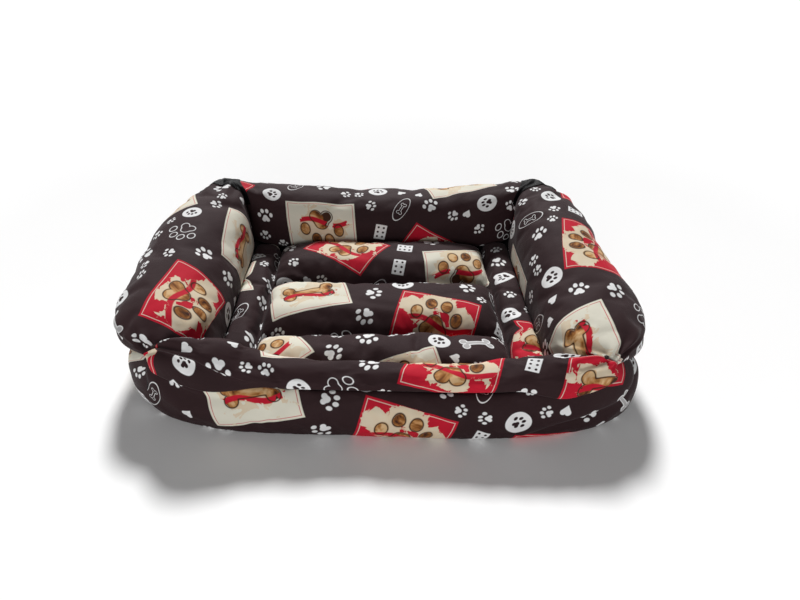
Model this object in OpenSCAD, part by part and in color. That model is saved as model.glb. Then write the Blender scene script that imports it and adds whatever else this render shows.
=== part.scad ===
// Bolster dog bed: a stuffed base, four mitred bolsters round a nest, and a lift-out pad sewn into rolls.
// X runs across the bed, Y from the low front to the back, Z up from the floor.

/* [Overall] */
// Width over the side bolsters
bed_width = 700; // [640:10:800]
// Depth from the front of the base to the back of the rear bolster
bed_depth = 496; // [460:4:560]
// Squareness of the plan outline, where 2 is an ellipse
outline_power = 4; // [3.5:0.5:6]

/* [Bolsters] */
// Width of each side bolster at its middle
side_bolster_width = 136; // [124:2:150]
// Width of the rear bolster at its middle
rear_bolster_width = 100; // [90:2:116]
// Width of the low front bolster at its middle
front_bolster_width = 46; // [42:2:60]
// Height of the side bolsters at their middle
side_bolster_top = 144; // [134:2:156]
// Height of the rear bolster at its middle
rear_bolster_top = 131; // [122:1:144]
// Height of the front bolster at its middle, where the dog steps in
front_bolster_top = 92; // [86:1:104]
// Height of the bolsters near a front corner
front_corner_top = 118; // [112:1:128]
// Height of the bolsters at a rear corner
rear_corner_top = 154; // [144:1:164]
// Length over which the end of a bolster rounds into its mitre
bolster_end_length = 52; // [40:2:64]

/* [Base] */
// Height of the base where the pad lies on it
base_height = 31; // [24:1:38]
// Height of the rim seam of the base along its sides
rim_height = 66; // [56:1:74]
// Height of the rim seam of the base at the corners
corner_rim_height = 96; // [84:1:104]
// How far the rim seam stands in from the widest line of the base
rim_setback = 22; // [14:1:26]
// How far the floor seam stands in from the widest line of the base
floor_setback = 12; // [6:1:18]
// How far the side bolsters hang out over the base
side_overhang = 7; // [3:1:14]
// How far the rear bolster hangs out over the base
rear_overhang = 8; // [4:1:14]
// How far the front bolster stands back from the base
front_step = 14; // [8:1:18]

/* [Pad] */
// Height of the rolls of the pad above its underside
pad_thickness = 39; // [32:1:46]
// Height of the flatter channel along each side of the pad
side_channel_thickness = 29; // [20:1:34]
// Width of the flatter channel along each side of the pad
side_channel_width = 42; // [32:2:54]
// Width of the flat where the two sheets of the pad are sewn together
seam_width = 4; // [3:0.5:6]
// Gap left round the pad
pad_gap = 1; // [0.5:0.5:3]

/* [Cloth] */
// Thickness of the printed cloth with its lining
cloth = 1.6; // [1.2:0.1:2]
// Thickness of the plain sheets
under_cloth = 1.2; // [0.8:0.1:1.6]
// Gap left between pieces that touch
ease = 0.3; // [0.2:0.05:0.4]
// Gap left under the bolsters and the corner patches
seat_gap = 0.6; // [0.5:0.05:0.8]
// Gap left between a filling and the cloth round it
filling_gap = 0.7; // [0.5:0.05:0.9]

/* [Corners] */
// Diameter of the knotted tacks at the front corners
tack_diameter = 6; // [4:0.5:6.5]
// Height of the middle of a tack over the bottom of its mitre
tack_rise = 4; // [4:0.5:6]

/* [Hidden] */

print_cloth = "#3a2c2e";
plain_cloth = "#17161c";
fibre = "#f2f0ea";
tack_thread = "#241d18";

// The sides in turn, seen from above against the clock, each from one corner to the next
corner_signs = [[-1, -1], [1, -1], [1, 1], [-1, 1]];
sides = [for (k = [0 : len(corner_signs) - 1]) k];
FRONT = sides[0];
RIGHT = sides[1];
REAR = sides[2];
LEFT = sides[3];

// The plan: the rounded outline of the base, and the nest inside the bolsters
half_width = bed_width / 2 - side_overhang;
half_depth = (bed_depth - rear_overhang) / 2;
centre_y = -rear_overhang / 2;
nest_half_width = bed_width / 2 - side_bolster_width;
nest_front = -bed_depth / 2 + front_step + front_bolster_width;
nest_rear = bed_depth / 2 - rear_bolster_width;
corner_share = pow(2, -1 / outline_power);

// Where the sections along a side stand, as shares of its length
station_shares = [0, 0.025, 0.065, 0.12, 0.2, 0.3, 0.4, 0.5, 0.6, 0.7, 0.8, 0.88, 0.935, 0.975, 1];
last_station = len(station_shares) - 1;

// Points round a section of a bolster
bolster_points = 16;
// Points up the side of the base, for its band and for its filling
band_points = 7;
core_points = 4;
// Flats round a tack
tack_faces = 32;

// How the tops and the rim rise towards the corners
top_rise_power = 3;
rim_rise_power = 4;
// Roundness of a bolster's upper and lower half, and at the peak of its end
upper_power = 2.3;
lower_power = 4;
end_power = 1.6;
// Where the crest of a bolster lies across it, at the middle and at the corners
crest_share = 0.5;
front_corner_crest_share = 0.8;
rear_corner_crest_share = 0.6;
// How narrow a bolster's end is at the mitre, and how far a front end drops to its tack
end_width_share = 0.72;
front_end_drop_share = 0.7;
// Height of the widest line of the base, as a share of its rim
widest_share = 0.36;
// Rings of the seat under the bolsters, as shares of the way out to the rim
seat_shares = [0, 0.35, 0.7, 1];

function lerp(a, b, t) = a + (b - a) * t;
function signed_power(v, p) = sign(v) * pow(abs(v), p);
function from_middle(t) = abs(2 * t - 1);
function corner_sign(k) = corner_signs[k % len(corner_signs)];
function reversed(list) = [for (i = [len(list) - 1 : -1 : 0]) list[i]];
function full_turn(count) = [for (i = [0 : count - 1]) 360 * i / count];

// The nest is a plain rectangle and the outline a rounded one: a section runs out from one to the other
function nest_corner(k) =
    [corner_sign(k).x * nest_half_width, corner_sign(k).y > 0 ? nest_rear : nest_front];
function inner_point(side, t) = lerp(nest_corner(side), nest_corner(side + 1), t);
function outline_reach(v, half, other) =
    other * pow(1 - pow(abs(v / half), outline_power), 1 / outline_power);
function outer_point(side, t) =
    let (from = corner_sign(side), to = corner_sign(side + 1))
    side % 2 == 0
        ? let (x = half_width * corner_share * lerp(from.x, to.x, t))
            [x, centre_y + from.y * outline_reach(x, half_width, half_depth)]
        : let (y = half_depth * corner_share * lerp(from.y, to.y, t))
            [from.x * outline_reach(y, half_depth, half_width), centre_y + y];
function span(side, t) = outer_point(side, t) - inner_point(side, t);
function side_length(side) = norm(nest_corner(side + 1) - nest_corner(side));

// The point of a section at a distance out from the nest and a height
function section_point(side, t, out, z) =
    let (plan = inner_point(side, t) + span(side, t) / norm(span(side, t)) * out)
    [plan.x, plan.y, z];

// How far each bolster hangs out over the base, with the mean of two of them at the corner where they meet
overhangs = [-front_step, side_overhang, rear_overhang, side_overhang];
function overhang(side, t) =
    let (
        onward = (side + (t < 0.5 ? len(sides) - 1 : 1)) % len(sides),
        mean = (overhangs[side] + overhangs[onward]) / 2
    )
    lerp(overhangs[side], mean, pow(from_middle(t), rim_rise_power));
function bolster_width(side, t) = norm(span(side, t)) + overhang(side, t);

// Height of the rim of the base, and of the seat that slopes up to it under a bolster
function rim_at(t) = lerp(rim_height, corner_rim_height, pow(from_middle(t), rim_rise_power));
function rim_reach(side, t) = norm(span(side, t)) - rim_setback;
function seat_height(side, t, out) =
    lerp(base_height, rim_at(t), min(1, max(0, out / rim_reach(side, t))));

// Height of the crest along each bolster: at its start, its middle and its end
side_tops = [
    [front_corner_top, front_bolster_top, front_corner_top],
    [front_corner_top, side_bolster_top, rear_corner_top],
    [rear_corner_top, rear_bolster_top, rear_corner_top],
    [rear_corner_top, side_bolster_top, front_corner_top]
];
function crest_height(side, t) =
    let (tops = side_tops[side], level = (tops[0] + tops[2]) / 2)
    lerp(tops[0], tops[2], t) + (tops[1] - level) * (1 - pow(from_middle(t), top_rise_power));

// How far a section is into the rounded end of its bolster: 0 along the bolster, 1 at the mitre
function into_end(side, t) =
    let (from_end = min(t, 1 - t) * side_length(side) / bolster_end_length)
    from_end >= 1 ? 0 : 1 - sqrt(1 - pow(1 - from_end, 2));
function at_front(side, t) = corner_sign(side + round(t)).y < 0;
function crest_out(side, t) =
    let (corner = at_front(side, t) ? front_corner_crest_share : rear_corner_crest_share)
    bolster_width(side, t) * lerp(crest_share, corner, into_end(side, t));
function crest_top(side, t) =
    let (drop = at_front(side, t) ? front_end_drop_share * into_end(side, t) : 0)
    lerp(crest_height(side, t), corner_rim_height, drop);

// A bolster stops half a gap short of the corner, so that two ends meet at a mitre
function station(side, i) =
    let (mitre = ease / side_length(side))
    min(1 - mitre, max(mitre, station_shares[i]));

// One section of a bolster, drawn in by a wall: up the nest side, over the crest, and back under
function bolster_section(side, t, wall, angles) =
    let (
        crest = crest_out(side, t),
        breadth = lerp(1, end_width_share, into_end(side, t)),
        inner = crest * (1 - breadth) + wall,
        outer = lerp(crest, bolster_width(side, t), breadth) - wall,
        top = crest_top(side, t) - wall,
        power = lerp(upper_power, end_power, into_end(side, t))
    )
    [for (angle = angles)
        let (
            across = signed_power(cos(angle), 2 / upper_power),
            out = across > 0 ? lerp(crest, inner, across) : lerp(crest, outer, -across),
            seat = seat_height(side, t, out) + seat_gap + wall,
            middle = (seat + top) / 2,
            up = sin(angle),
            z = up > 0
                ? lerp(middle, top, pow(up, 2 / power))
                : lerp(middle, seat, pow(-up, 2 / lower_power))
        )
        section_point(side, t, out, z)];
function bolster_sections(side, wall) =
    [for (i = [0 : last_station]) bolster_section(side, station(side, i), wall, full_turn(bolster_points))];

// One section up the side of the base, from its floor seam round the widest line to its rim seam
function base_section(side, t, wall, count) =
    let (reach = norm(span(side, t)), rim = rim_at(t), widest = rim * widest_share)
    [for (i = [0 : count - 1])
        let (
            angle = lerp(-90, 90, i / (count - 1)),
            setback = angle > 0 ? rim_setback : floor_setback,
            out = reach - wall - (setback - wall) * (1 - cos(angle)),
            z = widest + (angle > 0 ? rim - widest - wall : widest - wall) * sin(angle)
        )
        section_point(side, t, out, z)];

// Every section round the whole bed in turn, as [side, place along it]
round_stations = [for (side = sides, i = [0 : last_station - 1]) [side, station_shares[i]]];
function seat_ring(share, drop) =
    [for (s = round_stations)
        let (out = share * (rim_reach(s[0], s[1]) - ease))
        section_point(s[0], s[1], out, seat_height(s[0], s[1], out) - drop)];
function base_rings(wall, count) =
    let (sections = [for (s = round_stations) base_section(s[0], s[1], wall, count)])
    [for (i = [0 : count - 1]) [for (section = sections) section[i]]];

// Two triangles over four corners, split along the shorter way across, so that nested sheets split alike
function quad(points, a, b, c, d) =
    norm(points[a] - points[c]) < norm(points[b] - points[d])
        ? [[a, b, c], [a, c, d]]
        : [[a, b, d], [b, c, d]];
function between(points, a, b, count) =
    [for (i = [0 : count - 1])
        let (next = (i + 1) % count)
        each quad(points, a + i, a + next, b + next, b + i)];
function middle_of(ring) = [for (axis = [0 : 2]) [for (p = ring) 1] * [for (p = ring) p[axis]] / len(ring)];

// A closed body through rings of equally many points, capped at both ends
module loft(rings) {
    count = len(rings[0]);
    last = len(rings) - 1;
    cap = len(rings) * count;
    points = concat([for (ring = rings) each ring], [middle_of(rings[0]), middle_of(rings[last])]);
    faces = concat(
        [for (i = [0 : last - 1]) each between(points, i * count, (i + 1) * count, count)],
        [for (i = [0 : count - 1]) [cap, (i + 1) % count, i]],
        [for (i = [0 : count - 1]) [cap + 1, last * count + i, last * count + (i + 1) % count]]
    );
    polyhedron(points, faces);
}

// A closed body through rings that come back to the first one
module looped_loft(rings) {
    count = len(rings[0]);
    points = [for (ring = rings) each ring];
    faces = [for (i = [0 : len(rings) - 1])
        let (onward = (i + 1) % len(rings))
        each between(points, i * count, onward * count, count)];
    polyhedron(points, faces);
}

module base_bottom_panel() {
    edge = [for (s = round_stations)
        section_point(s[0], s[1], norm(span(s[0], s[1])) - floor_setback - ease, 0)];
    color(plain_cloth)
        linear_extrude(under_cloth)
            polygon([for (p = edge) [p.x, p.y]]);
}

// The printed band of the base, one sheet thick, from the floor seam to the rim seam
module base_border_band() {
    color(print_cloth)
        looped_loft([for (s = round_stations)
            concat(
                base_section(s[0], s[1], cloth, band_points),
                reversed(base_section(s[0], s[1], 0, band_points))
            )]);
}

// The plain sheet that closes the base: flat under the pad and sloping up under the bolsters
module base_top_panel() {
    color(plain_cloth)
        loft(concat(
            [for (share = seat_shares) seat_ring(share, under_cloth)],
            [for (share = reversed(seat_shares)) seat_ring(share, 0)]
        ));
}

module base_filling() {
    drop = under_cloth + filling_gap;
    color(fibre)
        loft(concat(
            base_rings(cloth + filling_gap, core_points),
            [for (i = [len(seat_shares) - 2 : -1 : 0]) seat_ring(seat_shares[i], drop)]
        ));
}

// A sleeve of printed cloth, open at the two mitres where it is sewn to its neighbours
module bolster_cover(side) {
    color(print_cloth)
        looped_loft(concat(
            bolster_sections(side, 0),
            reversed(bolster_sections(side, cloth))
        ));
}

module bolster_filling(side) {
    color(fibre)
        loft(bolster_sections(side, cloth + filling_gap));
}

// The pad: its lines of points across and along, from the shares of each roll and side channel
pad_half_width = nest_half_width - pad_gap;
pad_front = nest_front + pad_gap;
pad_rear = nest_rear - pad_gap;
side_seam = pad_half_width - side_channel_width;
pad_floor = base_height + ease;
sewn_height = under_cloth + ease + cloth;
rolls_shares = [0, 0.27, 0.665, 1];
roll_shares = [0, 0.04, 0.16, 0.36, 0.64, 0.84, 0.96, 1];
strip_shares = [0, 0.08, 0.32, 0.68, 0.92, 1];
breadth_shares = [0, 0.02, 0.07, 0.2, 0.5, 0.8, 0.93, 0.98, 1];
// Roundness of the rolls, and of their ends
roll_power = 2.5;
roll_end_power = 3.5;

// Each stretch is [from, to]: three rolls from front to rear, and a channel either side of their breadth
last_roll = len(rolls_shares) - 2;
function roll_edge(i) = lerp(pad_front, pad_rear, rolls_shares[i]);
roll_stretches = [for (i = [0 : last_roll])
    let (front_seam = i > 0 ? seam_width / 2 : 0, rear_seam = i < last_roll ? seam_width / 2 : 0)
    [roll_edge(i) + front_seam, roll_edge(i + 1) - rear_seam]];
left_stretch = [-pad_half_width, -side_seam - seam_width / 2];
breadth_stretch = [-side_seam + seam_width / 2, side_seam - seam_width / 2];
right_stretch = [side_seam + seam_width / 2, pad_half_width];
function stretched(stretch, shares) = [for (share = shares) lerp(stretch[0], stretch[1], share)];
function arch(v, stretch, power) =
    let (u = 2 * (v - stretch[0]) / (stretch[1] - stretch[0]) - 1)
    abs(u) >= 1 ? 0 : pow(1 - pow(abs(u), power), 1 / power);
function roll_arch(y) = max([for (stretch = roll_stretches) arch(y, stretch, roll_power)]);
function pad_height(x, y) =
    let (
        roll = roll_arch(y) * arch(x, breadth_stretch, roll_end_power),
        channel = max(arch(x, left_stretch, roll_power), arch(x, right_stretch, roll_power))
            * arch(y, [pad_front, pad_rear], roll_end_power)
    )
    max(lerp(sewn_height, pad_thickness, roll), lerp(sewn_height, side_channel_thickness, channel));

pad_xs = concat(stretched(left_stretch, strip_shares), stretched(breadth_stretch, breadth_shares),
    stretched(right_stretch, strip_shares));
pad_ys = [for (stretch = roll_stretches) each stretched(stretch, roll_shares)];
function inside(list) = [for (i = [1 : len(list) - 2]) list[i]];

// A closed body between two grids of points: its lower side, and its upper side over it
module double_sheet(low, high) {
    across = len(low[0]);
    along = len(low);
    count = across * along;
    points = [for (row = concat(low, high)) each row];
    border = concat(
        [for (i = [0 : across - 1]) i],
        [for (j = [1 : along - 1]) j * across + across - 1],
        [for (i = [across - 2 : -1 : 0]) (along - 1) * across + i],
        [for (j = [along - 2 : -1 : 1]) j * across]
    );
    cells = [for (j = [0 : along - 2], i = [0 : across - 2]) j * across + i];
    faces = concat(
        [for (a = cells) each quad(points, a, a + 1, a + across + 1, a + across)],
        [for (a = cells)
            let (b = count + a)
            each quad(points, b, b + across, b + across + 1, b + 1)],
        [for (i = [0 : len(border) - 1])
            let (a = border[i], b = border[(i + 1) % len(border)])
            each quad(points, a, count + a, count + b, b)]
    );
    polyhedron(points, faces);
}

function quilted(xs, ys, drop) =
    [for (y = ys) [for (x = xs) [x, y, pad_floor + pad_height(x, y) - drop]]];

module pad_top_sheet() {
    color(print_cloth)
        double_sheet(quilted(pad_xs, pad_ys, cloth), quilted(pad_xs, pad_ys, 0));
}

module pad_bottom_sheet() {
    color(plain_cloth)
        translate([-pad_half_width, pad_front, pad_floor])
            cube([2 * pad_half_width, pad_rear - pad_front, under_cloth]);
}

module pad_filling(xs, ys) {
    underside = [for (y = ys) [for (x = xs) [x, y, pad_floor + under_cloth + filling_gap]]];
    color(fibre)
        double_sheet(underside, quilted(xs, ys, cloth + filling_gap));
}
module pad_roll_filling(i) {
    pad_filling(
        inside(stretched(breadth_stretch, breadth_shares)),
        inside(stretched(roll_stretches[i], roll_shares))
    );
}
module pad_channel_filling(stretch) {
    pad_filling(inside(stretched(stretch, strip_shares)), inside(pad_ys));
}

// A plain black patch over the outer top of a rear mitre, sewn to the two bolsters that meet there
patch_angles = [for (angle = full_turn(bolster_points)) if (angle >= 90 && angle <= 180) angle];
// How far a patch runs along each bolster, as a share of its length
patch_share = 0.07;
function patch_sections(side, lift) =
    let (
        onward = (side + 1) % len(sides),
        ends = concat(
            [for (i = [0 : last_station]) if (1 - station_shares[i] <= patch_share) [side, station(side, i)]],
            [for (i = [0 : last_station]) if (station_shares[i] <= patch_share) [onward, station(onward, i)]]
        )
    )
    [for (s = ends) bolster_section(s[0], s[1], -lift, patch_angles)];
module corner_patch(side) {
    color(plain_cloth)
        double_sheet(patch_sections(side, seat_gap), patch_sections(side, seat_gap + under_cloth));
}

// A knot of cord that draws the two bolster ends together, seated in the dip over their mitre
module corner_tack(side) {
    t = station(side, 0);
    color(tack_thread)
        translate(section_point(side, t, crest_out(side, t), crest_top(side, t) + tack_rise))
            sphere(d = tack_diameter, $fn = tack_faces);
}

base_bottom_panel();
base_border_band();
base_top_panel();
base_filling();
pad_top_sheet();
pad_bottom_sheet();
pad_roll_filling(0);  // pad_filling_front
pad_roll_filling(1);  // pad_filling_middle
pad_roll_filling(2);  // pad_filling_rear
pad_channel_filling(left_stretch);  // pad_filling_left
pad_channel_filling(right_stretch);  // pad_filling_right
bolster_cover(FRONT);  // bolster_front_cover
bolster_cover(RIGHT);  // bolster_right_cover
bolster_cover(REAR);  // bolster_rear_cover
bolster_cover(LEFT);  // bolster_left_cover
bolster_filling(FRONT);  // bolster_front_filling
bolster_filling(RIGHT);  // bolster_right_filling
bolster_filling(REAR);  // bolster_rear_filling
bolster_filling(LEFT);  // bolster_left_filling
corner_patch(REAR);  // corner_patch_rear_left
corner_patch(RIGHT);  // corner_patch_rear_right
corner_tack(FRONT);  // corner_tack_front_left
corner_tack(RIGHT);  // corner_tack_front_right
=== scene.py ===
import math

import bmesh
import bpy
from bpy.props import FloatProperty, FloatVectorProperty, PointerProperty
from bpy.types import Operator, Panel, PropertyGroup
from mathutils import Matrix, Vector, noise
from mathutils.bvhtree import BVHTree


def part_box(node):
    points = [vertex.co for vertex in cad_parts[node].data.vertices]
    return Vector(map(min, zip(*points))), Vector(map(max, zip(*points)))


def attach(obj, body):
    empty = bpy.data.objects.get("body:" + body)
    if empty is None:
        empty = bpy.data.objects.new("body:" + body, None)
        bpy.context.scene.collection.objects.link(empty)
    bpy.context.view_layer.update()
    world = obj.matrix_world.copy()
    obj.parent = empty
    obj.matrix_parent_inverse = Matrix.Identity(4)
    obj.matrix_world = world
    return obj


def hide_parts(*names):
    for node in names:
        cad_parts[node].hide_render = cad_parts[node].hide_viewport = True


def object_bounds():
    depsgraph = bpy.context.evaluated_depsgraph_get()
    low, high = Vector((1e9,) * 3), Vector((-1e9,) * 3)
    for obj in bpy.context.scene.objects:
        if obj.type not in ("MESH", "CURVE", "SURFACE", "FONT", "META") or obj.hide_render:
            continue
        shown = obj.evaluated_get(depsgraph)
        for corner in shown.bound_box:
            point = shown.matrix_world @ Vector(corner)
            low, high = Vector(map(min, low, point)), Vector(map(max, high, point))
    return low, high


bl_info = {
    "name": "Dog Sofa Bed",
    "version": (1, 0, 0),
    "blender": (4, 5, 0),
    "location": "3D View > Sidebar > Dog Bed",
    "description": "Stuffed dog bed with four mitred bolsters round a lift-out pad, in printed cloth",
    "category": "Object",
}

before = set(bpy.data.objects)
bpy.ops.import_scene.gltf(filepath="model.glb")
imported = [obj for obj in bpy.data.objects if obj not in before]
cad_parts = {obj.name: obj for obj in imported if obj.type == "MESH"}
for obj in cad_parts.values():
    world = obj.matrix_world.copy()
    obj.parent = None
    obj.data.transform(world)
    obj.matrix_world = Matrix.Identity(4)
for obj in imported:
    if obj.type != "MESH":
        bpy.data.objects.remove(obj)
CAD_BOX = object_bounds()

MM = 0.001
FRONT, RIGHT, REAR, LEFT = range(4)
SIDE_NAMES = ("front", "right", "rear", "left")
CORNER_SIGNS = ((-1, -1), (1, -1), (1, 1), (-1, 1))
UP = Vector((0, 0, 1))


def linear(hex_colour):
    """An sRGB hex colour as linear red, green, blue and alpha."""
    parts = [int(hex_colour[i:i + 2], 16) / 255 for i in (1, 3, 5)]
    bright = [p / 12.92 if p <= 0.04045 else ((p + 0.055) / 1.055) ** 2.4 for p in parts]
    return (*bright, 1.0)


def length_of(name, words, default):
    return FloatProperty(
        name=name, description=words, default=default, unit="LENGTH", subtype="DISTANCE", precision=4
    )


def colour_of(name, words, default):
    return FloatVectorProperty(
        name=name, description=words, default=linear(default), size=4, min=0.0, max=1.0, subtype="COLOR"
    )


# How far the underside of the pad lies over the base
SEAT_CLEARANCE = 0.0003


class BedSizes(PropertyGroup):
    """The sizes of the bed, as in the part's source."""

    width: length_of("Width", "Across the side bolsters", 2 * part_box("bolster_right_cover")[1].x)
    depth: length_of("Depth", "From the front of the base to the back of the bed", CAD_BOX[1].y - CAD_BOX[0].y)
    side_bolster: length_of("Side bolster", "Width of a side bolster at its middle", 0.136)
    rear_bolster: length_of("Rear bolster", "Width of the rear bolster at its middle", 0.100)
    front_bolster: length_of("Front bolster", "Width of the low front bolster at its middle", 0.046)
    side_top: length_of("Side top", "Height of the side bolsters at their middle", 0.144)
    rear_top: length_of("Rear top", "Height of the rear bolster at its middle", 0.131)
    front_top: length_of("Front top", "Height of the front bolster at its middle", 0.092)
    front_corner_top: length_of("Front corner top", "Height of the bolsters near a front corner", 0.118)
    rear_corner_top: length_of("Rear corner top", "Height of the bolsters at a rear corner", 0.154)
    end_length: length_of("Bolster end", "Length over which a bolster rounds into its mitre", 0.052)
    base_height: length_of(
        "Base height", "Height of the base under the pad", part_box("pad_bottom_sheet")[0].z - SEAT_CLEARANCE
    )
    rim_height: length_of("Rim height", "Height of the rim seam along the sides", 0.066)
    corner_rim: length_of("Corner rim", "Height of the rim seam at the corners", 0.096)
    rim_setback: length_of("Rim setback", "From the widest line in to the rim seam", 0.022)
    floor_setback: length_of("Floor setback", "From the widest line in to the floor seam", 0.012)
    side_overhang: length_of("Side overhang", "How far the side bolsters hang over the base", 0.007)
    rear_overhang: length_of("Rear overhang", "How far the rear bolster hangs over the base", 0.008)
    front_step: length_of("Front step", "How far the front bolster stands back from the base", 0.014)
    pad_thickness: length_of("Pad thickness", "Height of the pad's rolls above its underside", 0.039)
    channel_thickness: length_of("Channel thickness", "Height of the pad's side channels", 0.029)
    channel_width: length_of("Channel width", "Width of the pad's side channels", 0.042)


class BedColours(PropertyGroup):
    """The colours of the cloth, its print and its threads."""

    ground: colour_of("Ground", "Dark brown that the cloth is dyed", "#2c1c1e")
    white: colour_of("White", "White of the small printed motifs", "#ececec")
    grey: colour_of("Grey", "Grey inside some of the printed motifs", "#b9b7b7")
    red: colour_of("Red", "Red of the printed cards", "#c01a30")
    cream: colour_of("Cream", "Cream of the printed cards", "#e4e0d0")
    fawn: colour_of("Fawn", "Pale wash round the pictures on the cards", "#d9b688")
    tan: colour_of("Tan", "Light brown of the pictures on the cards", "#c08c56")
    brown: colour_of("Brown", "Middle brown of the pictures on the cards", "#8a5427")
    dark: colour_of("Dark brown", "Darkest brown of the pictures on the cards", "#3d2418")
    # The corner patches' tips down the mitres use this black as painted shade
    nylon: colour_of("Nylon", "Black nylon of the corner patches and the underside", "#0b0a0c")
    thread: colour_of("Thread", "Dark brown sewing thread", "#1f1715")


def lerp(a, b, t):
    return a + (b - a) * t


def smooth(t):
    """0 below 0, 1 above 1, and an even S between them."""
    t = min(1.0, max(0.0, t))
    return t * t * (3 - 2 * t)


def bump(x, centre, breadth):
    """A rounded bump of height 1 at its centre."""
    return math.exp(-((x - centre) / breadth) ** 2)


def rise(x, start, end):
    """0 before start, 1 past end, and an even S between them."""
    return smooth((x - start) / (end - start))


def span(x, start, full, until, end):
    """0 before start and past end, and 1 from full on, until it falls again."""
    return rise(x, start, full) * (1 - rise(x, until, end))


def signed_power(v, p):
    return math.copysign(abs(v) ** p, v)


def facing(out, angle):
    """The direction out of a surface at that angle of its section: 0 towards the nest, 90 up, 180 outwards."""
    turn = math.radians(angle)
    return (Vector((-out.x, -out.y, 0)) * math.cos(turn) + UP * math.sin(turn)).normalized()


# How broad a crease is, as a share of the way between two of them
CREASE_BREADTH = 0.2
# How far apart in the noise two seeds are read, so that they share nothing
RIPPLES_APART, CREASES_APART = (17.3, 5.1, 9.7), (7.9, 3.3, 5.7)


def ripple(point, breadth, seed):
    """Smooth unevenness from -1 to 1 with lumps of about that breadth, the same at every run."""
    return noise.noise(Vector(point) / breadth + Vector([seed * apart for apart in RIPPLES_APART]))


def lumpy(point, lumps, seed=0):
    """The ripples of all these lumps together, each given by its height, breadth and seed."""
    return sum(height * ripple(point, breadth, number + seed) for height, breadth, number in lumps)


def crease(point, stretch, seed):
    """Winding lines of height 1, as the folds of a loose cover run, further apart where stretch is larger."""
    place = Vector([p / s for p, s in zip(point, stretch)]) + Vector([seed * apart for apart in CREASES_APART])
    return bump(noise.noise(place), 0, CREASE_BREADTH)


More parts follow.
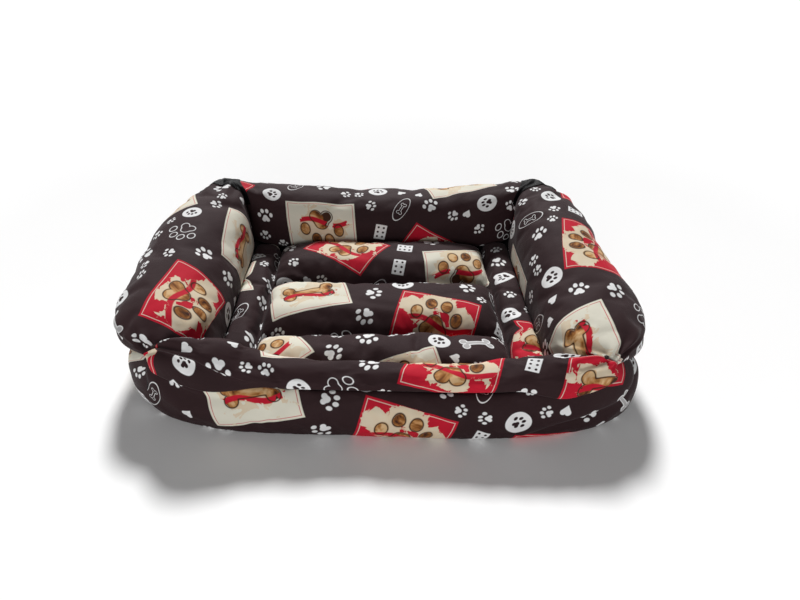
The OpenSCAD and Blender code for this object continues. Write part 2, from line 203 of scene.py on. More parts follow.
class BedForm:
    """Where each surface of the bed runs, worked out from its sizes as in the part's source."""

    outline_power = 4
    corner_share = 2 ** (-1 / 4)
    widest_share = 0.36
    upper_power, lower_power, end_power = 2.3, 4, 1.6
    top_rise_power, rim_rise_power = 3, 4
    crest_share, front_corner_crest_share, rear_corner_crest_share = 0.5, 0.8, 0.6
    end_width_share, front_end_drop_share = 0.72, 0.7
    # The gap at a mitre, and the one between a bolster and its seat
    ease = 0.0003
    seat_gap = 0.0006

    def __init__(self, sizes):
        self.sizes = s = sizes
        self.half_width = s.width / 2 - s.side_overhang
        self.half_depth = (s.depth - s.rear_overhang) / 2
        self.centre_y = -s.rear_overhang / 2
        self.nest_half_width = s.width / 2 - s.side_bolster
        self.nest_front = -s.depth / 2 + s.front_step + s.front_bolster
        self.nest_rear = s.depth / 2 - s.rear_bolster
        self.overhangs = (-s.front_step, s.side_overhang, s.rear_overhang, s.side_overhang)
        self.tops = (
            (s.front_corner_top, s.front_top, s.front_corner_top),
            (s.front_corner_top, s.side_top, s.rear_corner_top),
            (s.rear_corner_top, s.rear_top, s.rear_corner_top),
            (s.rear_corner_top, s.side_top, s.front_corner_top),
        )
        self.lines = {}

    def nest_corner(self, k):
        sx, sy = CORNER_SIGNS[k % 4]
        return Vector((sx * self.nest_half_width, self.nest_rear if sy > 0 else self.nest_front, 0))

    def outer_point(self, side, t):
        """A point on the widest line of the base, straight out from share t of a side of the nest."""
        (fx, fy), (tx, ty) = CORNER_SIGNS[side], CORNER_SIGNS[(side + 1) % 4]
        width, depth, power = self.half_width, self.half_depth, self.outline_power
        if side % 2 == 0:
            x = width * self.corner_share * lerp(fx, tx, t)
            y = fy * depth * (1 - abs(x / width) ** power) ** (1 / power)
        else:
            y = depth * self.corner_share * lerp(fy, ty, t)
            x = fx * width * (1 - abs(y / depth) ** power) ** (1 / power)
        return Vector((x, self.centre_y + y, 0))

    def side_length(self, side):
        return (self.nest_corner(side + 1) - self.nest_corner(side)).length

    def line(self, side, t):
        """What is the same all over a section: its line on the plan, and the heights and widths on it."""
        key = (side, round(t, 7))
        if key in self.lines:
            return self.lines[key]
        s = self.sizes
        inner = self.nest_corner(side).lerp(self.nest_corner(side + 1), t)
        across = self.outer_point(side, t) - inner
        reach = across.length
        middle = abs(2 * t - 1)
        cornered = middle ** self.rim_rise_power
        onward = (side + (3 if t < 0.5 else 1)) % 4
        overhang = lerp(self.overhangs[side], (self.overhangs[side] + self.overhangs[onward]) / 2, cornered)
        from_end = min(t, 1 - t) * self.side_length(side) / s.end_length
        into = 0.0 if from_end >= 1 else 1 - math.sqrt(max(0.0, 1 - (1 - from_end) ** 2))
        at_front = CORNER_SIGNS[(side + (0 if t < 0.5 else 1)) % 4][1] < 0
        corner_crest = self.front_corner_crest_share if at_front else self.rear_corner_crest_share
        width = reach + overhang
        tops = self.tops[side]
        level = (tops[0] + tops[2]) / 2
        top = lerp(tops[0], tops[2], t) + (tops[1] - level) * (1 - middle ** self.top_rise_power)
        if at_front:
            top = lerp(top, s.corner_rim, self.front_end_drop_share * into)
        rim = lerp(s.rim_height, s.corner_rim, cornered)
        found = {
            "inner": inner,
            "out": across / reach,
            "reach": reach,
            "width": width,
            "into": into,
            "at_front": at_front,
            "crest": width * lerp(self.crest_share, corner_crest, into),
            "top": top,
            "rim": rim,
            "rim_reach": reach - s.rim_setback,
        }
        self.lines[key] = found
        return found

    def seat(self, line, out):
        return lerp(self.sizes.base_height, line["rim"], min(1.0, max(0.0, out / line["rim_reach"])))

    def bolster_point(self, side, t, angle):
        """A point on a bolster's cover: angle 0 faces the nest, 90 up, 180 outwards and 270 the seat."""
        line = self.line(side, t)
        into, crest, top = line["into"], line["crest"], line["top"]
        breadth = lerp(1, self.end_width_share, into)
        inner = crest * (1 - breadth)
        outer = lerp(crest, line["width"], breadth)
        power = lerp(self.upper_power, self.end_power, into)
        turn = math.radians(angle)
        across = signed_power(math.cos(turn), 2 / self.upper_power)
        out = lerp(crest, inner, across) if across > 0 else lerp(crest, outer, -across)
        seat = self.seat(line, out) + self.seat_gap
        middle = (seat + top) / 2
        up = math.sin(turn)
        if up > 0:
            z = lerp(middle, top, up ** (2 / power))
        else:
            z = lerp(middle, seat, (-up) ** (2 / self.lower_power))
        plan = line["inner"] + line["out"] * out
        return Vector((plan.x, plan.y, z))

    def base_point(self, side, t, angle):
        """A point on the band: angle -90 on the floor seam, 0 on the widest line, 90 on the rim seam."""
        line, s = self.line(side, t), self.sizes
        setback = s.rim_setback if angle > 0 else s.floor_setback
        widest = line["rim"] * self.widest_share
        turn = math.radians(angle)
        out = line["reach"] - setback * (1 - math.cos(turn))
        z = widest + (line["rim"] - widest if angle > 0 else widest) * math.sin(turn)
        plan = line["inner"] + line["out"] * out
        return Vector((plan.x, plan.y, z))

    def seat_point(self, side, t, share):
        """A point on the top of the base, from the nest at share 0 out to the rim seam at share 1."""
        line = self.line(side, t)
        out = share * line["rim_reach"]
        plan = line["inner"] + line["out"] * out
        return Vector((plan.x, plan.y, self.seat(line, out)))


def bed_form(context):
    return BedForm(context.scene.bed_sizes)


# Cloth pieces: a grid of quads laid on a surface, with a UV map that runs in metres along the cloth

def distances(line, start):
    """How far along a row of points each of them lies from the one at start."""
    steps = [(b - a).length for a, b in zip(line, line[1:])]
    return [sum(steps[start:k]) - sum(steps[k:start]) for k in range(len(line))]


def cloth_grid(columns, rows, place, origin=(0.5, 0.5), shift=(0.0, 0.0)):
    """A sheet of columns by rows quads, and the column and row of each vertex. place(a, b) gives the point for
    shares a and b from 0 to 1. The UV map holds the distances along the cloth from the origin, so that a print
    keeps its real size."""
    sheet = bmesh.new()
    bmesh.ops.create_grid(sheet, x_segments=columns, y_segments=rows, size=1.0)
    sheet.verts.ensure_lookup_table()
    spot = {
        v.index: (round((v.co.x + 1) / 2 * columns), round((v.co.y + 1) / 2 * rows)) for v in sheet.verts
    }
    points = [[place(i / columns, j / rows) for j in range(rows + 1)] for i in range(columns + 1)]
    along = [distances(line, round(origin[0] * columns)) for line in zip(*points)]
    across = [distances(line, round(origin[1] * rows)) for line in points]
    layer = sheet.loops.layers.uv.new("cloth")
    for face in sheet.faces:
        for loop in face.loops:
            i, j = spot[loop.vert.index]
            loop[layer].uv = (along[j][i] + shift[0], across[i][j] + shift[1])
    for v in sheet.verts:
        i, j = spot[v.index]
        v.co = points[i][j]
    return sheet, spot


def closed(sheet, material_index):
    """Closes what is still open with flat triangles, which a subdivision takes better than one large face."""
    rims = [e for e in sheet.edges if e.is_boundary]
    faces = bmesh.ops.holes_fill(sheet, edges=rims, sides=0)["faces"]
    for face in faces:
        face.material_index = material_index
    bmesh.ops.triangulate(sheet, faces=faces)


def finished(name, sheet, materials, outward=True):
    """Turns the bmesh into an object of that name, smooth shaded, with its normals out."""
    if outward:
        bmesh.ops.recalc_face_normals(sheet, faces=sheet.faces)
    for face in sheet.faces:
        face.smooth = True
    mesh = bpy.data.meshes.new(name)
    sheet.to_mesh(mesh)
    sheet.free()
    piece = bpy.data.objects.new(name, mesh)
    bpy.context.scene.collection.objects.link(piece)
    for material in materials:
        mesh.materials.append(material)
    return piece


def subdivided(piece):
    finer = piece.modifiers.new("finer", "SUBSURF")
    finer.levels = finer.render_levels = 1


# A light, loose cover that is blown up from inside, and the frames that it takes to come to rest
COVER_CLOTH = {
    "quality": 5, "mass": 0.2, "tension_stiffness": 12, "compression_stiffness": 12, "shear_stiffness": 4,
    "bending_stiffness": 0.4, "use_pressure": True, "pin_stiffness": 2,
}
COVER_FRAMES = 20


def plumped(piece, freedom, pressure, slack, cap):
    """Blows the cover up a little against its filling with Blender's cloth. freedom gives each vertex a share
    from 0, sewn down, to 1, free, and no vertex moves further than cap times that share."""
    scene = bpy.context.scene
    mesh = piece.data
    held = piece.vertex_groups.new(name="held")
    for i, share in enumerate(freedom):
        if share < 1:
            held.add([i], 1 - share, "REPLACE")
    cloth = piece.modifiers.new("cloth", "CLOTH")
    settings = cloth.settings
    for key, value in COVER_CLOTH.items():
        setattr(settings, key, value)
    settings.uniform_pressure_force = pressure
    settings.shrink_min = -slack
    settings.effector_weights.gravity = 0
    settings.vertex_group_mass = "held"
    cloth.collision_settings.use_collision = False
    cloth.point_cache.frame_start, cloth.point_cache.frame_end = 1, COVER_FRAMES
    for number in range(1, COVER_FRAMES + 1):
        scene.frame_set(number)
    blown = piece.evaluated_get(bpy.context.evaluated_depsgraph_get()).to_mesh()
    moves = [b.co - a.co for a, b in zip(mesh.vertices, blown.vertices)]
    piece.modifiers.remove(cloth)
    piece.vertex_groups.remove(held)
    for v, move, share in zip(mesh.vertices, moves, freedom):
        most = cap * share
        if move.length > most:
            move = move * (most / move.length)
        v.co += move
    scene.frame_set(1)


def cover_piece(context, name, sheet, free, blow, whole_print=False):
    """Closes the cover's bmesh, makes it a piece and plumps it. free is the layer of its vertices' freedom, and
    blow the pressure, slack and cap. What closes a cover is nylon, unless all of it is printed."""
    closed(sheet, 0 if whole_print else 1)
    sheet.verts.index_update()
    freedom = [v[free] for v in sheet.verts]
    kinds = ("print",) if whole_print else ("print", "nylon")
    piece = finished(name, sheet, [material_for(context, kind) for kind in kinds])
    plumped(piece, freedom, *blow)
    subdivided(piece)
    return piece


# Materials

def add(tree, kind, feeds=(), **settings):
    """Adds a node with its settings, and feeds its inputs in turn or by name: a node or socket is linked, a value
    is set, and None leaves the input as it is."""
    node = tree.nodes.new(kind)
    for key, value in settings.items():
        setattr(node, key, value)
    for key, value in feeds.items() if isinstance(feeds, dict) else enumerate(feeds):
        if isinstance(value, bpy.types.Node):
            tree.links.new(value.outputs[0], node.inputs[key])
        elif isinstance(value, bpy.types.NodeSocket):
            tree.links.new(value, node.inputs[key])
        elif value is not None:
            node.inputs[key].default_value = value
    return node


def worked_out(tree, steps, **known):
    """Adds a node for each step (name, operation, inputs). An input is a number, a vector, a colour, or the name
    of what is already known. V_ marks a sum on vectors, and a ! one whose result is kept from 0 to 1. MIX, of
    numbers, and OVER, of colours, lay the last input over the one before it where the first is 1."""
    for name, operation, *inputs in steps:
        feeds = [known[x] if isinstance(x, str) else x for x in inputs]
        clamped = operation.endswith("!")
        operation = operation.rstrip("!")
        if operation == "XY":
            known[name] = add(tree, "ShaderNodeCombineXYZ", feeds)
        elif operation in ("X", "Y", "Z"):
            known[name] = add(tree, "ShaderNodeSeparateXYZ", feeds).outputs[operation]
        elif operation == "TURN":
            feeds = {"Vector": feeds[0], "Angle": feeds[1]}
            known[name] = add(tree, "ShaderNodeVectorRotate", feeds, rotation_type="Z_AXIS")
        elif operation == "CHANCE":
            found = add(tree, "ShaderNodeTexWhiteNoise", feeds, noise_dimensions="3D")
            known[name] = found.outputs["Color"]
        elif operation == "MIX":
            known[name] = add(tree, "ShaderNodeMix", dict(zip((0, 2, 3), feeds)), data_type="FLOAT").outputs[0]
        elif operation == "OVER":
            known[name] = add(tree, "ShaderNodeMix", dict(zip((0, 6, 7), feeds)), data_type="RGBA").outputs[2]
        elif operation.startswith("V_"):
            found = add(tree, "ShaderNodeVectorMath", feeds, operation=operation[2:])
            is_number = operation in ("V_DISTANCE", "V_LENGTH", "V_DOT_PRODUCT")
            known[name] = found.outputs["Value" if is_number else "Vector"]
        else:
            known[name] = add(tree, "ShaderNodeMath", feeds, operation=operation, use_clamp=clamped)
    return known


def new_material(name, roughness, constants):
    material = bpy.data.materials.new(name)
    material.use_nodes = True
    tree = material.node_tree
    shader = tree.nodes["Principled BSDF"]
    shader.inputs["Roughness"].default_value = roughness
    for key, value in constants.items():
        shader.inputs[key].default_value = value
    return material, tree, shader


# The print: a lattice of cards, turned a little on the cloth, with small motifs between them
PRINT_TURN = math.radians(17)
CARD_CELL = (190 * MM, 172 * MM, 1.0)
HALF_CELL = (95 * MM, 86 * MM, 0.0)
CARD_HALF = (57 * MM, 43 * MM)
# How far a card leans: its least lean, and how much chance adds
CARD_LEAN, CARD_LEAN_SPREAD = -0.95, 1.5
BORDER_INSET = 3.4 * MM
PRINT_EDGE = 0.8 * MM
PICTURE_HALF = 40 * MM
BONE_CARD_FROM, RED_CARD_FROM = 0.5, 0.62
# Where the small motifs stand between four cards, and how far each reaches, in millimetres
MOTIF_SPOTS = (
    (-22, 12, 25), (31, -26, 17), (-67, -6, 15), (0, 61, 16), (-3, -64, 15),
    (29, 21, 11), (80, 4, 11), (-10, -29, 11), (58, -3, 10), (-42, -27, 9.5),
)
LARGE_REACH, SMALL_REACH = 20 * MM, 12 * MM
# What each number of kind prints: one of the first four on a large spot, one of the next four on a middling one,
# and one of the last two on a small one. The paws that have no entry in SHAPES are drawn plain
KINDS = ("outline", "bone", "tag", "collar", "disc", "middle_paw", "biscuit", "rings", "small_paw", "heart")
SHAPES = {
    "outline": "paw_line", "bone": "bone", "tag": "tag", "collar": "collar", "disc": "disc",
    "biscuit": "biscuit", "rings": "rings", "heart": "heart",
}
# The parts of the motifs in shares of their reach: where they stand, and their radius or half their size
TOE_SQUAT, TOE_RADIUS = (1.0, 0.74, 0.0), 0.195
TOES = ((0.27, 0.42, 0.0), (0.70, 0.08, 0.0))
LOBE, LOBE_RADIUS = (0.23, -0.46, 0.0), 0.24
CROWN, CROWN_RADIUS, PALM_BLEND = (0.0, -0.17, 0.0), 0.27, 0.25
KNOB, KNOB_RADIUS, KNOB_BLEND = (0.68, 0.20, 0.0), 0.22, 0.12
SHAFT_HALF = (0.66, 0.15)
BLOCK_HALF = (0.60, 0.84)
HOLE_ROW, HOLE_COLUMN, HOLE_RADIUS = 0.52, 0.28, 0.12
RING, RING_RADIUS, RING_HALF, DOT_RADIUS = (0.46, 0.0, 0.0), 0.38, 0.06, 0.22
HEART_LOBE, HEART_LOBE_RADIUS = (0.30, 0.20, 0.0), 0.36
HEART_SLOPE, HEART_SLOPE_OFF, HEART_SHOULDER = (0.788, -0.616), 0.473, 0.05
COLLAR_SQUASH, COLLAR_RADIUS, COLLAR_BAND, COLLAR_LINE = (1.0, 2.1, 0.0), 0.74, 0.17, 0.04
STUD_WAVES, STUD_CUT, STUD_HALF = (22.0, 0.0, 0.0), 0.82, 0.06
DISC_RADIUS = 0.95
TAG_SQUASH, TAG_RADIUS, TAG_LINE, PAW_LINE = (1.0, 2.2, 0.0), 0.9, 0.035, 0.024
YARN_DRAWN, NYLON_THREAD_DRAWN = 1.2 * MM, 0.9 * MM
# A tag's bone and a disc's paw are drawn smaller than they stand alone, by these shares more of the reach
ALONE_SCALE, ON_TAG, ON_DISC = 1.02, 1.2, 0.55
# How far apart in the chance two cells of motifs are read, and two cards in the brush strokes
CELLS_APART, CARDS_APART = (37.0, 53.0, 0.0), (1.7, 2.3, 0.0)
SMALL_HEART_FROM, BISCUIT_FROM = 0.8, 0.5
# How ragged the wash and the fur of a card's picture are, and how their edges and its outline fall off, each as a
# slope and the value where it starts
WASH_RAGGED, WASH_EDGE = -2.6, (-22.0, -23.0)
FUR_RAGGED, FUR_EDGE = -0.3, (-30.0, -3.9)
OUTLINE_EDGE = (-34.0, 1.2)
# The ribbon's waves, how far it sways, how far below the middle it runs, and its edge
RIBBON_WAVES, RIBBON_SWAY, RIBBON_DOWN, RIBBON_EDGE = 3.1, 0.12, 0.22, (-30.0, 3.6)
# Where in the brush strokes each brown lies, both ends first
BROWNS = {"dark": 0.39, "fawn": 0.61, "brown": 0.46, "tan": 0.54}


def printed_cotton(colours):
    """Polyester and cotton in plain weave, pigment printed: a matt dark brown face with a faint sheen, and crisp
    cards, paws, bones and discs strewn over it."""
    material, tree, shader = new_material(
        "printed_polycotton",
        0.7,
        {"Sheen Weight": 0.06, "Sheen Roughness": 0.4, "Specular IOR Level": 0.10},
    )
    uv = add(tree, "ShaderNodeUVMap", uv_map="cloth")
    k = worked_out(tree, [
        ("p", "TURN", "uv", PRINT_TURN),
        ("card_grid", "V_DIVIDE", "p", CARD_CELL),
        ("card_cell", "V_FLOOR", "card_grid"),
        ("card_mid", "V_MULTIPLY_ADD", "card_cell", CARD_CELL, HALF_CELL),
        ("card_at", "V_SUBTRACT", "p", "card_mid"),
        ("card_chance", "CHANCE", "card_cell"),
        ("card_x", "X", "card_chance"),
        ("card_y", "Y", "card_chance"),
        ("card_z", "Z", "card_chance"),
        ("card_lean", "MULTIPLY_ADD", "card_x", CARD_LEAN_SPREAD, CARD_LEAN),
        ("card_p", "TURN", "card_at", "card_lean"),
        ("card_side", "V_ABSOLUTE", "card_p"),
        ("side_x", "X", "card_side"),
        ("side_y", "Y", "card_side"),
        ("over_x", "SUBTRACT", "side_x", CARD_HALF[0]),
        ("over_y", "SUBTRACT", "side_y", CARD_HALF[1]),
        ("card_edge", "MAXIMUM", "over_x", "over_y"),
        ("card", "MULTIPLY_ADD!", "card_edge", -1 / PRINT_EDGE, 0.5),
        ("line_far", "ADD", "card_edge", BORDER_INSET),
        ("line_off", "ABSOLUTE", "line_far"),
        ("card_line", "MULTIPLY_ADD!", "line_off", -1 / PRINT_EDGE, 1.0),
        ("shifted", "V_SUBTRACT", "p", HALF_CELL),
        ("motif_grid", "V_DIVIDE", "shifted", CARD_CELL),
        ("motif_cell", "V_FLOOR", "motif_grid"),
        ("motif_mid", "V_MULTIPLY_ADD", "motif_cell", CARD_CELL, HALF_CELL),
        ("motif_at", "V_SUBTRACT", "shifted", "motif_mid"),
    ], uv=uv, **colours)
    # The spot that takes a point is the only one that reaches it, so their places and reaches can be summed
    k["spot"] = (0.0, 0.0, 0.0)
    for x, y, reach in MOTIF_SPOTS:
        k = worked_out(tree, [
            ("far", "V_DISTANCE", "motif_at", (x * MM, y * MM, 0.0)),
            ("reached", "LESS_THAN", "far", reach * MM),
            ("spot", "V_MULTIPLY_ADD", "reached", (x * MM, y * MM, reach * MM), "spot"),
        ], **k)
    k = worked_out(tree, [
        ("reach", "Z", "spot"),
        ("unit", "MAXIMUM", "reach", MM),
        # Chance is read at a place of its own for each spot of each cell
        ("mark", "V_MULTIPLY", "spot", (1 / MM, 1 / MM, 1 / MM)),
        ("place", "V_MULTIPLY_ADD", "motif_cell", CELLS_APART, "mark"),
        ("chance", "CHANCE", "place"),
        ("first", "X", "chance"),
        ("second", "Y", "chance"),
        ("off", "V_SUBTRACT", "motif_at", "spot"),
        ("flat_off", "V_MULTIPLY", "off", (1.0, 1.0, 0.0)),
        ("scaled", "V_DIVIDE", "flat_off", "unit"),
        ("lean", "MULTIPLY", "first", math.tau),
        ("q", "TURN", "scaled", "lean"),
        # The number of the kind of motif, from its chance and its reach: two large motifs in five are outlined
        # paws, and one small motif in five is a heart
        ("not_large", "LESS_THAN", "reach", LARGE_REACH),
        ("breadth", "MULTIPLY_ADD", "not_large", -1.7, 4.999),
        ("five", "MULTIPLY", "second", "breadth"),
        ("large", "SUBTRACT", 1.0, "not_large"),
        ("four", "SUBTRACT", "five", "large"),
        ("from_first", "MAXIMUM", "four", 0.0),
        ("pick", "FLOOR", "from_first"),
        ("kind_two", "MULTIPLY_ADD", "not_large", float(KINDS.index("disc")), "pick"),
        ("small", "LESS_THAN", "reach", SMALL_REACH),
        ("is_small_heart", "GREATER_THAN", "second", SMALL_HEART_FROM),
        ("kind_small", "ADD", "is_small_heart", float(KINDS.index("small_paw"))),
        ("not_small", "SUBTRACT", 1.0, "small"),
        ("kind_kept", "MULTIPLY", "kind_two", "not_small"),
        ("kind", "MULTIPLY_ADD", "small", "kind_small", "kind_kept"),
        *(("is_" + name, "COMPARE", "kind", float(KINDS.index(name)), 0.5) for name in SHAPES),
        # Half of what would be biscuits is printed as paws
        ("baked", "GREATER_THAN", "first", BISCUIT_FROM),
        ("is_biscuit", "MULTIPLY", "is_biscuit", "baked"),
        # A card's picture fills most of it, and what is drawn at a point is either a picture or a motif
        ("grow_a", "MULTIPLY_ADD", "is_tag", ON_TAG, ALONE_SCALE),
        ("grow", "MULTIPLY_ADD", "is_disc", ON_DISC, "grow_a"),
        ("drawn", "V_MULTIPLY", "q", "grow"),
        ("picture", "V_DIVIDE", "card_p", (PICTURE_HALF, PICTURE_HALF, 1.0)),
        ("swap", "V_SUBTRACT", "picture", "drawn"),
        ("s", "V_MULTIPLY_ADD", "card", "swap", "drawn"),
        # Paw: four toes over a palm of three lobes, alike on both sides
        ("sx", "X", "s"),
        ("sy", "Y", "s"),
        ("ax", "ABSOLUTE", "sx"),
        ("ay", "ABSOLUTE", "sy"),
        ("folded", "XY", "ax", "sy"),
        ("squat", "V_MULTIPLY", "folded", TOE_SQUAT),
        ("inner_toe", "V_DISTANCE", "squat", TOES[0]),
        ("outer_toe", "V_DISTANCE", "squat", TOES[1]),
        ("toes", "MINIMUM", "inner_toe", "outer_toe"),
        ("toes_edge", "SUBTRACT", "toes", TOE_RADIUS),
        ("lobe", "V_DISTANCE", "folded", LOBE),
        ("lobe_edge", "SUBTRACT", "lobe", LOBE_RADIUS),
        ("crown", "V_DISTANCE", "folded", CROWN),
        ("crown_edge", "SUBTRACT", "crown", CROWN_RADIUS),
        ("palm", "SMOOTH_MIN", "lobe_edge", "crown_edge", PALM_BLEND),
        ("paw", "MINIMUM", "toes_edge", "palm"),
        ("paw_off", "ABSOLUTE", "paw"),
        ("paw_line", "SUBTRACT", "paw_off", PAW_LINE),
        # Bone: a shaft between two pairs of knobs
        ("corner", "XY", "ax", "ay"),
        ("knob", "V_DISTANCE", "corner", KNOB),
        ("knob_edge", "SUBTRACT", "knob", KNOB_RADIUS),
        ("shaft_y", "SUBTRACT", "ay", SHAFT_HALF[1]),
        ("shaft_x", "SUBTRACT", "ax", SHAFT_HALF[0]),
        ("shaft", "MAXIMUM", "shaft_x", "shaft_y"),
        ("bone", "SMOOTH_MIN", "knob_edge", "shaft", KNOB_BLEND),
        # Biscuit: a block with two rows of three holes
        ("block_x", "SUBTRACT", "ax", BLOCK_HALF[0]),
        ("block_y", "SUBTRACT", "ay", BLOCK_HALF[1]),
        ("block", "MAXIMUM", "block_x", "block_y"),
        ("row_off", "SUBTRACT", "ay", HOLE_ROW),
        ("row_far", "ABSOLUTE", "row_off"),
        ("row", "MINIMUM", "ay", "row_far"),
        ("column", "SUBTRACT", "ax", HOLE_COLUMN),
        ("hole_at", "XY", "column", "row"),
        ("hole", "V_LENGTH", "hole_at"),
        ("hole_edge", "SUBTRACT", HOLE_RADIUS, "hole"),
        ("biscuit", "MAXIMUM", "block", "hole_edge"),
        # Two rings side by side, each with a dot in it
        ("ring_at", "V_DISTANCE", "corner", RING),
        ("ring_off", "SUBTRACT", "ring_at", RING_RADIUS),
        ("ring_far", "ABSOLUTE", "ring_off"),
        ("ring", "SUBTRACT", "ring_far", RING_HALF),
        ("dot", "SUBTRACT", "ring_at", DOT_RADIUS),
        ("rings", "MINIMUM", "ring", "dot"),
        # Heart: two lobes over a point
        ("heart_lobe", "V_DISTANCE", "folded", HEART_LOBE),
        ("heart_top", "SUBTRACT", "heart_lobe", HEART_LOBE_RADIUS),
        ("heart_x", "MULTIPLY", "ax", HEART_SLOPE[0]),
        ("heart_slope", "MULTIPLY_ADD", "sy", HEART_SLOPE[1], "heart_x"),
        ("heart_side", "SUBTRACT", "heart_slope", HEART_SLOPE_OFF),
        ("heart_up", "SUBTRACT", "sy", HEART_SHOULDER),
        ("heart_low", "MAXIMUM", "heart_up", "heart_side"),
        ("heart", "MINIMUM", "heart_top", "heart_low"),
        # Collar: two ovals one inside the other, the band between them set with dots
        ("long_way", "V_MULTIPLY", "q", COLLAR_SQUASH),
        ("long_far", "V_LENGTH", "long_way"),
        ("band_off", "SUBTRACT", "long_far", COLLAR_RADIUS),
        ("band_far", "ABSOLUTE", "band_off"),
        ("band_line", "SUBTRACT", "band_far", COLLAR_BAND),
        ("band_edge", "ABSOLUTE", "band_line"),
        ("band", "SUBTRACT", "band_edge", COLLAR_LINE),
        ("stud_way", "V_MULTIPLY", "q", STUD_WAVES),
        ("stud_x", "X", "stud_way"),
        ("stud_wave", "SINE", "stud_x"),
        ("stud_pick", "SUBTRACT", STUD_CUT, "stud_wave"),
        ("stud_band", "SUBTRACT", "band_far", STUD_HALF),
        ("stud", "MAXIMUM", "stud_pick", "stud_band"),
        ("collar", "MINIMUM", "band", "stud"),
        # A round disc round a paw, and an oval tag round an outlined bone
        ("q_far", "V_LENGTH", "q"),
        ("disc_edge", "SUBTRACT", "q_far", DISC_RADIUS),
        ("not_paw", "MULTIPLY", "paw", -1.0),
        ("disc", "MAXIMUM", "disc_edge", "not_paw"),
        ("tall", "V_MULTIPLY", "q", TAG_SQUASH),
        ("tag_far", "V_LENGTH", "tall"),
        ("tag_off", "SUBTRACT", "tag_far", TAG_RADIUS),
        ("tag_line", "ABSOLUTE", "tag_off"),
        ("tag_edge", "SUBTRACT", "tag_line", TAG_LINE),
        ("bone_off", "ABSOLUTE", "bone"),
        ("bone_line", "SUBTRACT", "bone_off", TAG_LINE),
        ("tag", "MINIMUM", "tag_edge", "bone_line"),
    ], **k)
    k["figure"] = k["paw"]
    k = worked_out(tree, [
        *(("figure", "MIX", "is_" + name, "figure", shape) for name, shape in SHAPES.items()),
        ("edge", "MULTIPLY", "figure", "reach"),
        ("motif_ink", "MULTIPLY_ADD!", "edge", -1 / PRINT_EDGE, 0.5),
        ("in_spot", "GREATER_THAN", "reach", MM),
        ("motif", "MULTIPLY", "motif_ink", "in_spot"),
        # Bones and rings are greyer inside their outline
        ("inside", "MULTIPLY_ADD!", "edge", -1 / PRINT_EDGE, -1.3),
        ("greyed", "MAXIMUM", "is_bone", "is_rings"),
        ("grey_share", "MULTIPLY", "inside", "greyed"),
        # The picture on a card: a brown paw or bone in a wash of tan, with a red ribbon across it
        ("is_bone_card", "GREATER_THAN", "card_y", BONE_CARD_FROM),
        ("is_red_card", "GREATER_THAN", "card_z", RED_CARD_FROM),
        ("wash_seed", "V_MULTIPLY_ADD", "card_cell", CARDS_APART, "card_p"),
        ("emblem", "MIX", "is_bone_card", "paw", "bone"),
    ], **k)
    brush = {"Vector": k["wash_seed"], "Scale": 34.0, "Detail": 3.5, "Roughness": 0.62, "Distortion": 0.5}
    blots = add(tree, "ShaderNodeTexNoise", brush, noise_dimensions="3D").outputs["Fac"]
    browns = add(tree, "ShaderNodeValToRGB", (blots,))
    ramp = browns.color_ramp.elements
    for number, (name, position) in enumerate(BROWNS.items()):
        mark = ramp[number] if number < 2 else ramp.new(position)
        mark.position, mark.color = position, colours[name]
    # The ground is dyed a little unevenly
    base = add(tree, "ShaderNodeTexNoise", {"Vector": uv, "Scale": 9.0, "Detail": 2.0}, noise_dimensions="3D")
    tone = add(tree, "ShaderNodeMapRange", {0: base.outputs["Fac"], 1: 0.3, 2: 0.7, 3: 0.9, 4: 1.12})
    worn = add(tree, "ShaderNodeHueSaturation", {"Color": colours["ground"], "Value": tone})
    k = worked_out(tree, [
        ("wash_edge", "MULTIPLY_ADD", "blots", WASH_RAGGED, "emblem"),
        ("wash", "MULTIPLY_ADD!", "wash_edge", *WASH_EDGE),
        ("fur_edge", "MULTIPLY_ADD", "blots", FUR_RAGGED, "emblem"),
        ("fur", "MULTIPLY_ADD!", "fur_edge", *FUR_EDGE),
        ("outline_far", "ABSOLUTE", "emblem"),
        ("outline_ink", "MULTIPLY_ADD!", "outline_far", *OUTLINE_EDGE),
        # The ribbon waves a little and ends where the wash ends
        ("wave_at", "MULTIPLY", "sx", RIBBON_WAVES),
        ("wave", "SINE", "wave_at"),
        ("ribbon_mid", "MULTIPLY_ADD", "wave", RIBBON_SWAY, "sy"),
        ("ribbon_off", "ADD", "ribbon_mid", RIBBON_DOWN),
        ("ribbon_far", "ABSOLUTE", "ribbon_off"),
        ("ribbon_edge", "MULTIPLY_ADD!", "ribbon_far", *RIBBON_EDGE),
        ("ribbon", "MULTIPLY", "ribbon_edge", "wash"),
        # The colours, from the card's paper up to its outlines, and then the whole print on the ground
        ("paper", "OVER", "is_red_card", "cream", "red"),
        ("line_face", "OVER", "is_red_card", "red", "cream"),
        ("lined", "OVER", "card_line", "paper", "line_face"),
        ("wash_face", "OVER", "blots", "fawn", "cream"),
        ("washed", "OVER", "wash", "lined", "wash_face"),
        ("furred", "OVER", "fur", "washed", "browns"),
        ("tied", "OVER", "ribbon", "furred", "red"),
        ("card_face", "OVER", "outline_ink", "tied", "dark"),
        ("motif_face", "OVER", "grey_share", "white", "grey"),
        ("strewn", "OVER", "motif", "worn", "motif_face"),
        ("printed", "OVER", "card", "strewn", "card_face"),
        # Yarns lie 0.5 mm apart; they are drawn at 1.2 mm, as coarse as the render can show
        ("fine", "V_MULTIPLY", "uv", (math.tau / YARN_DRAWN, math.tau / YARN_DRAWN, 0.0)),
        ("warp_at", "X", "fine"),
        ("weft_at", "Y", "fine"),
        ("warp", "SINE", "warp_at"),
        ("weft", "SINE", "weft_at"),
        ("weave", "MULTIPLY", "warp", "weft"),
    ], blots=blots, browns=browns, worn=worn, **k)
    tree.links.new(k["printed"], shader.inputs["Base Color"])
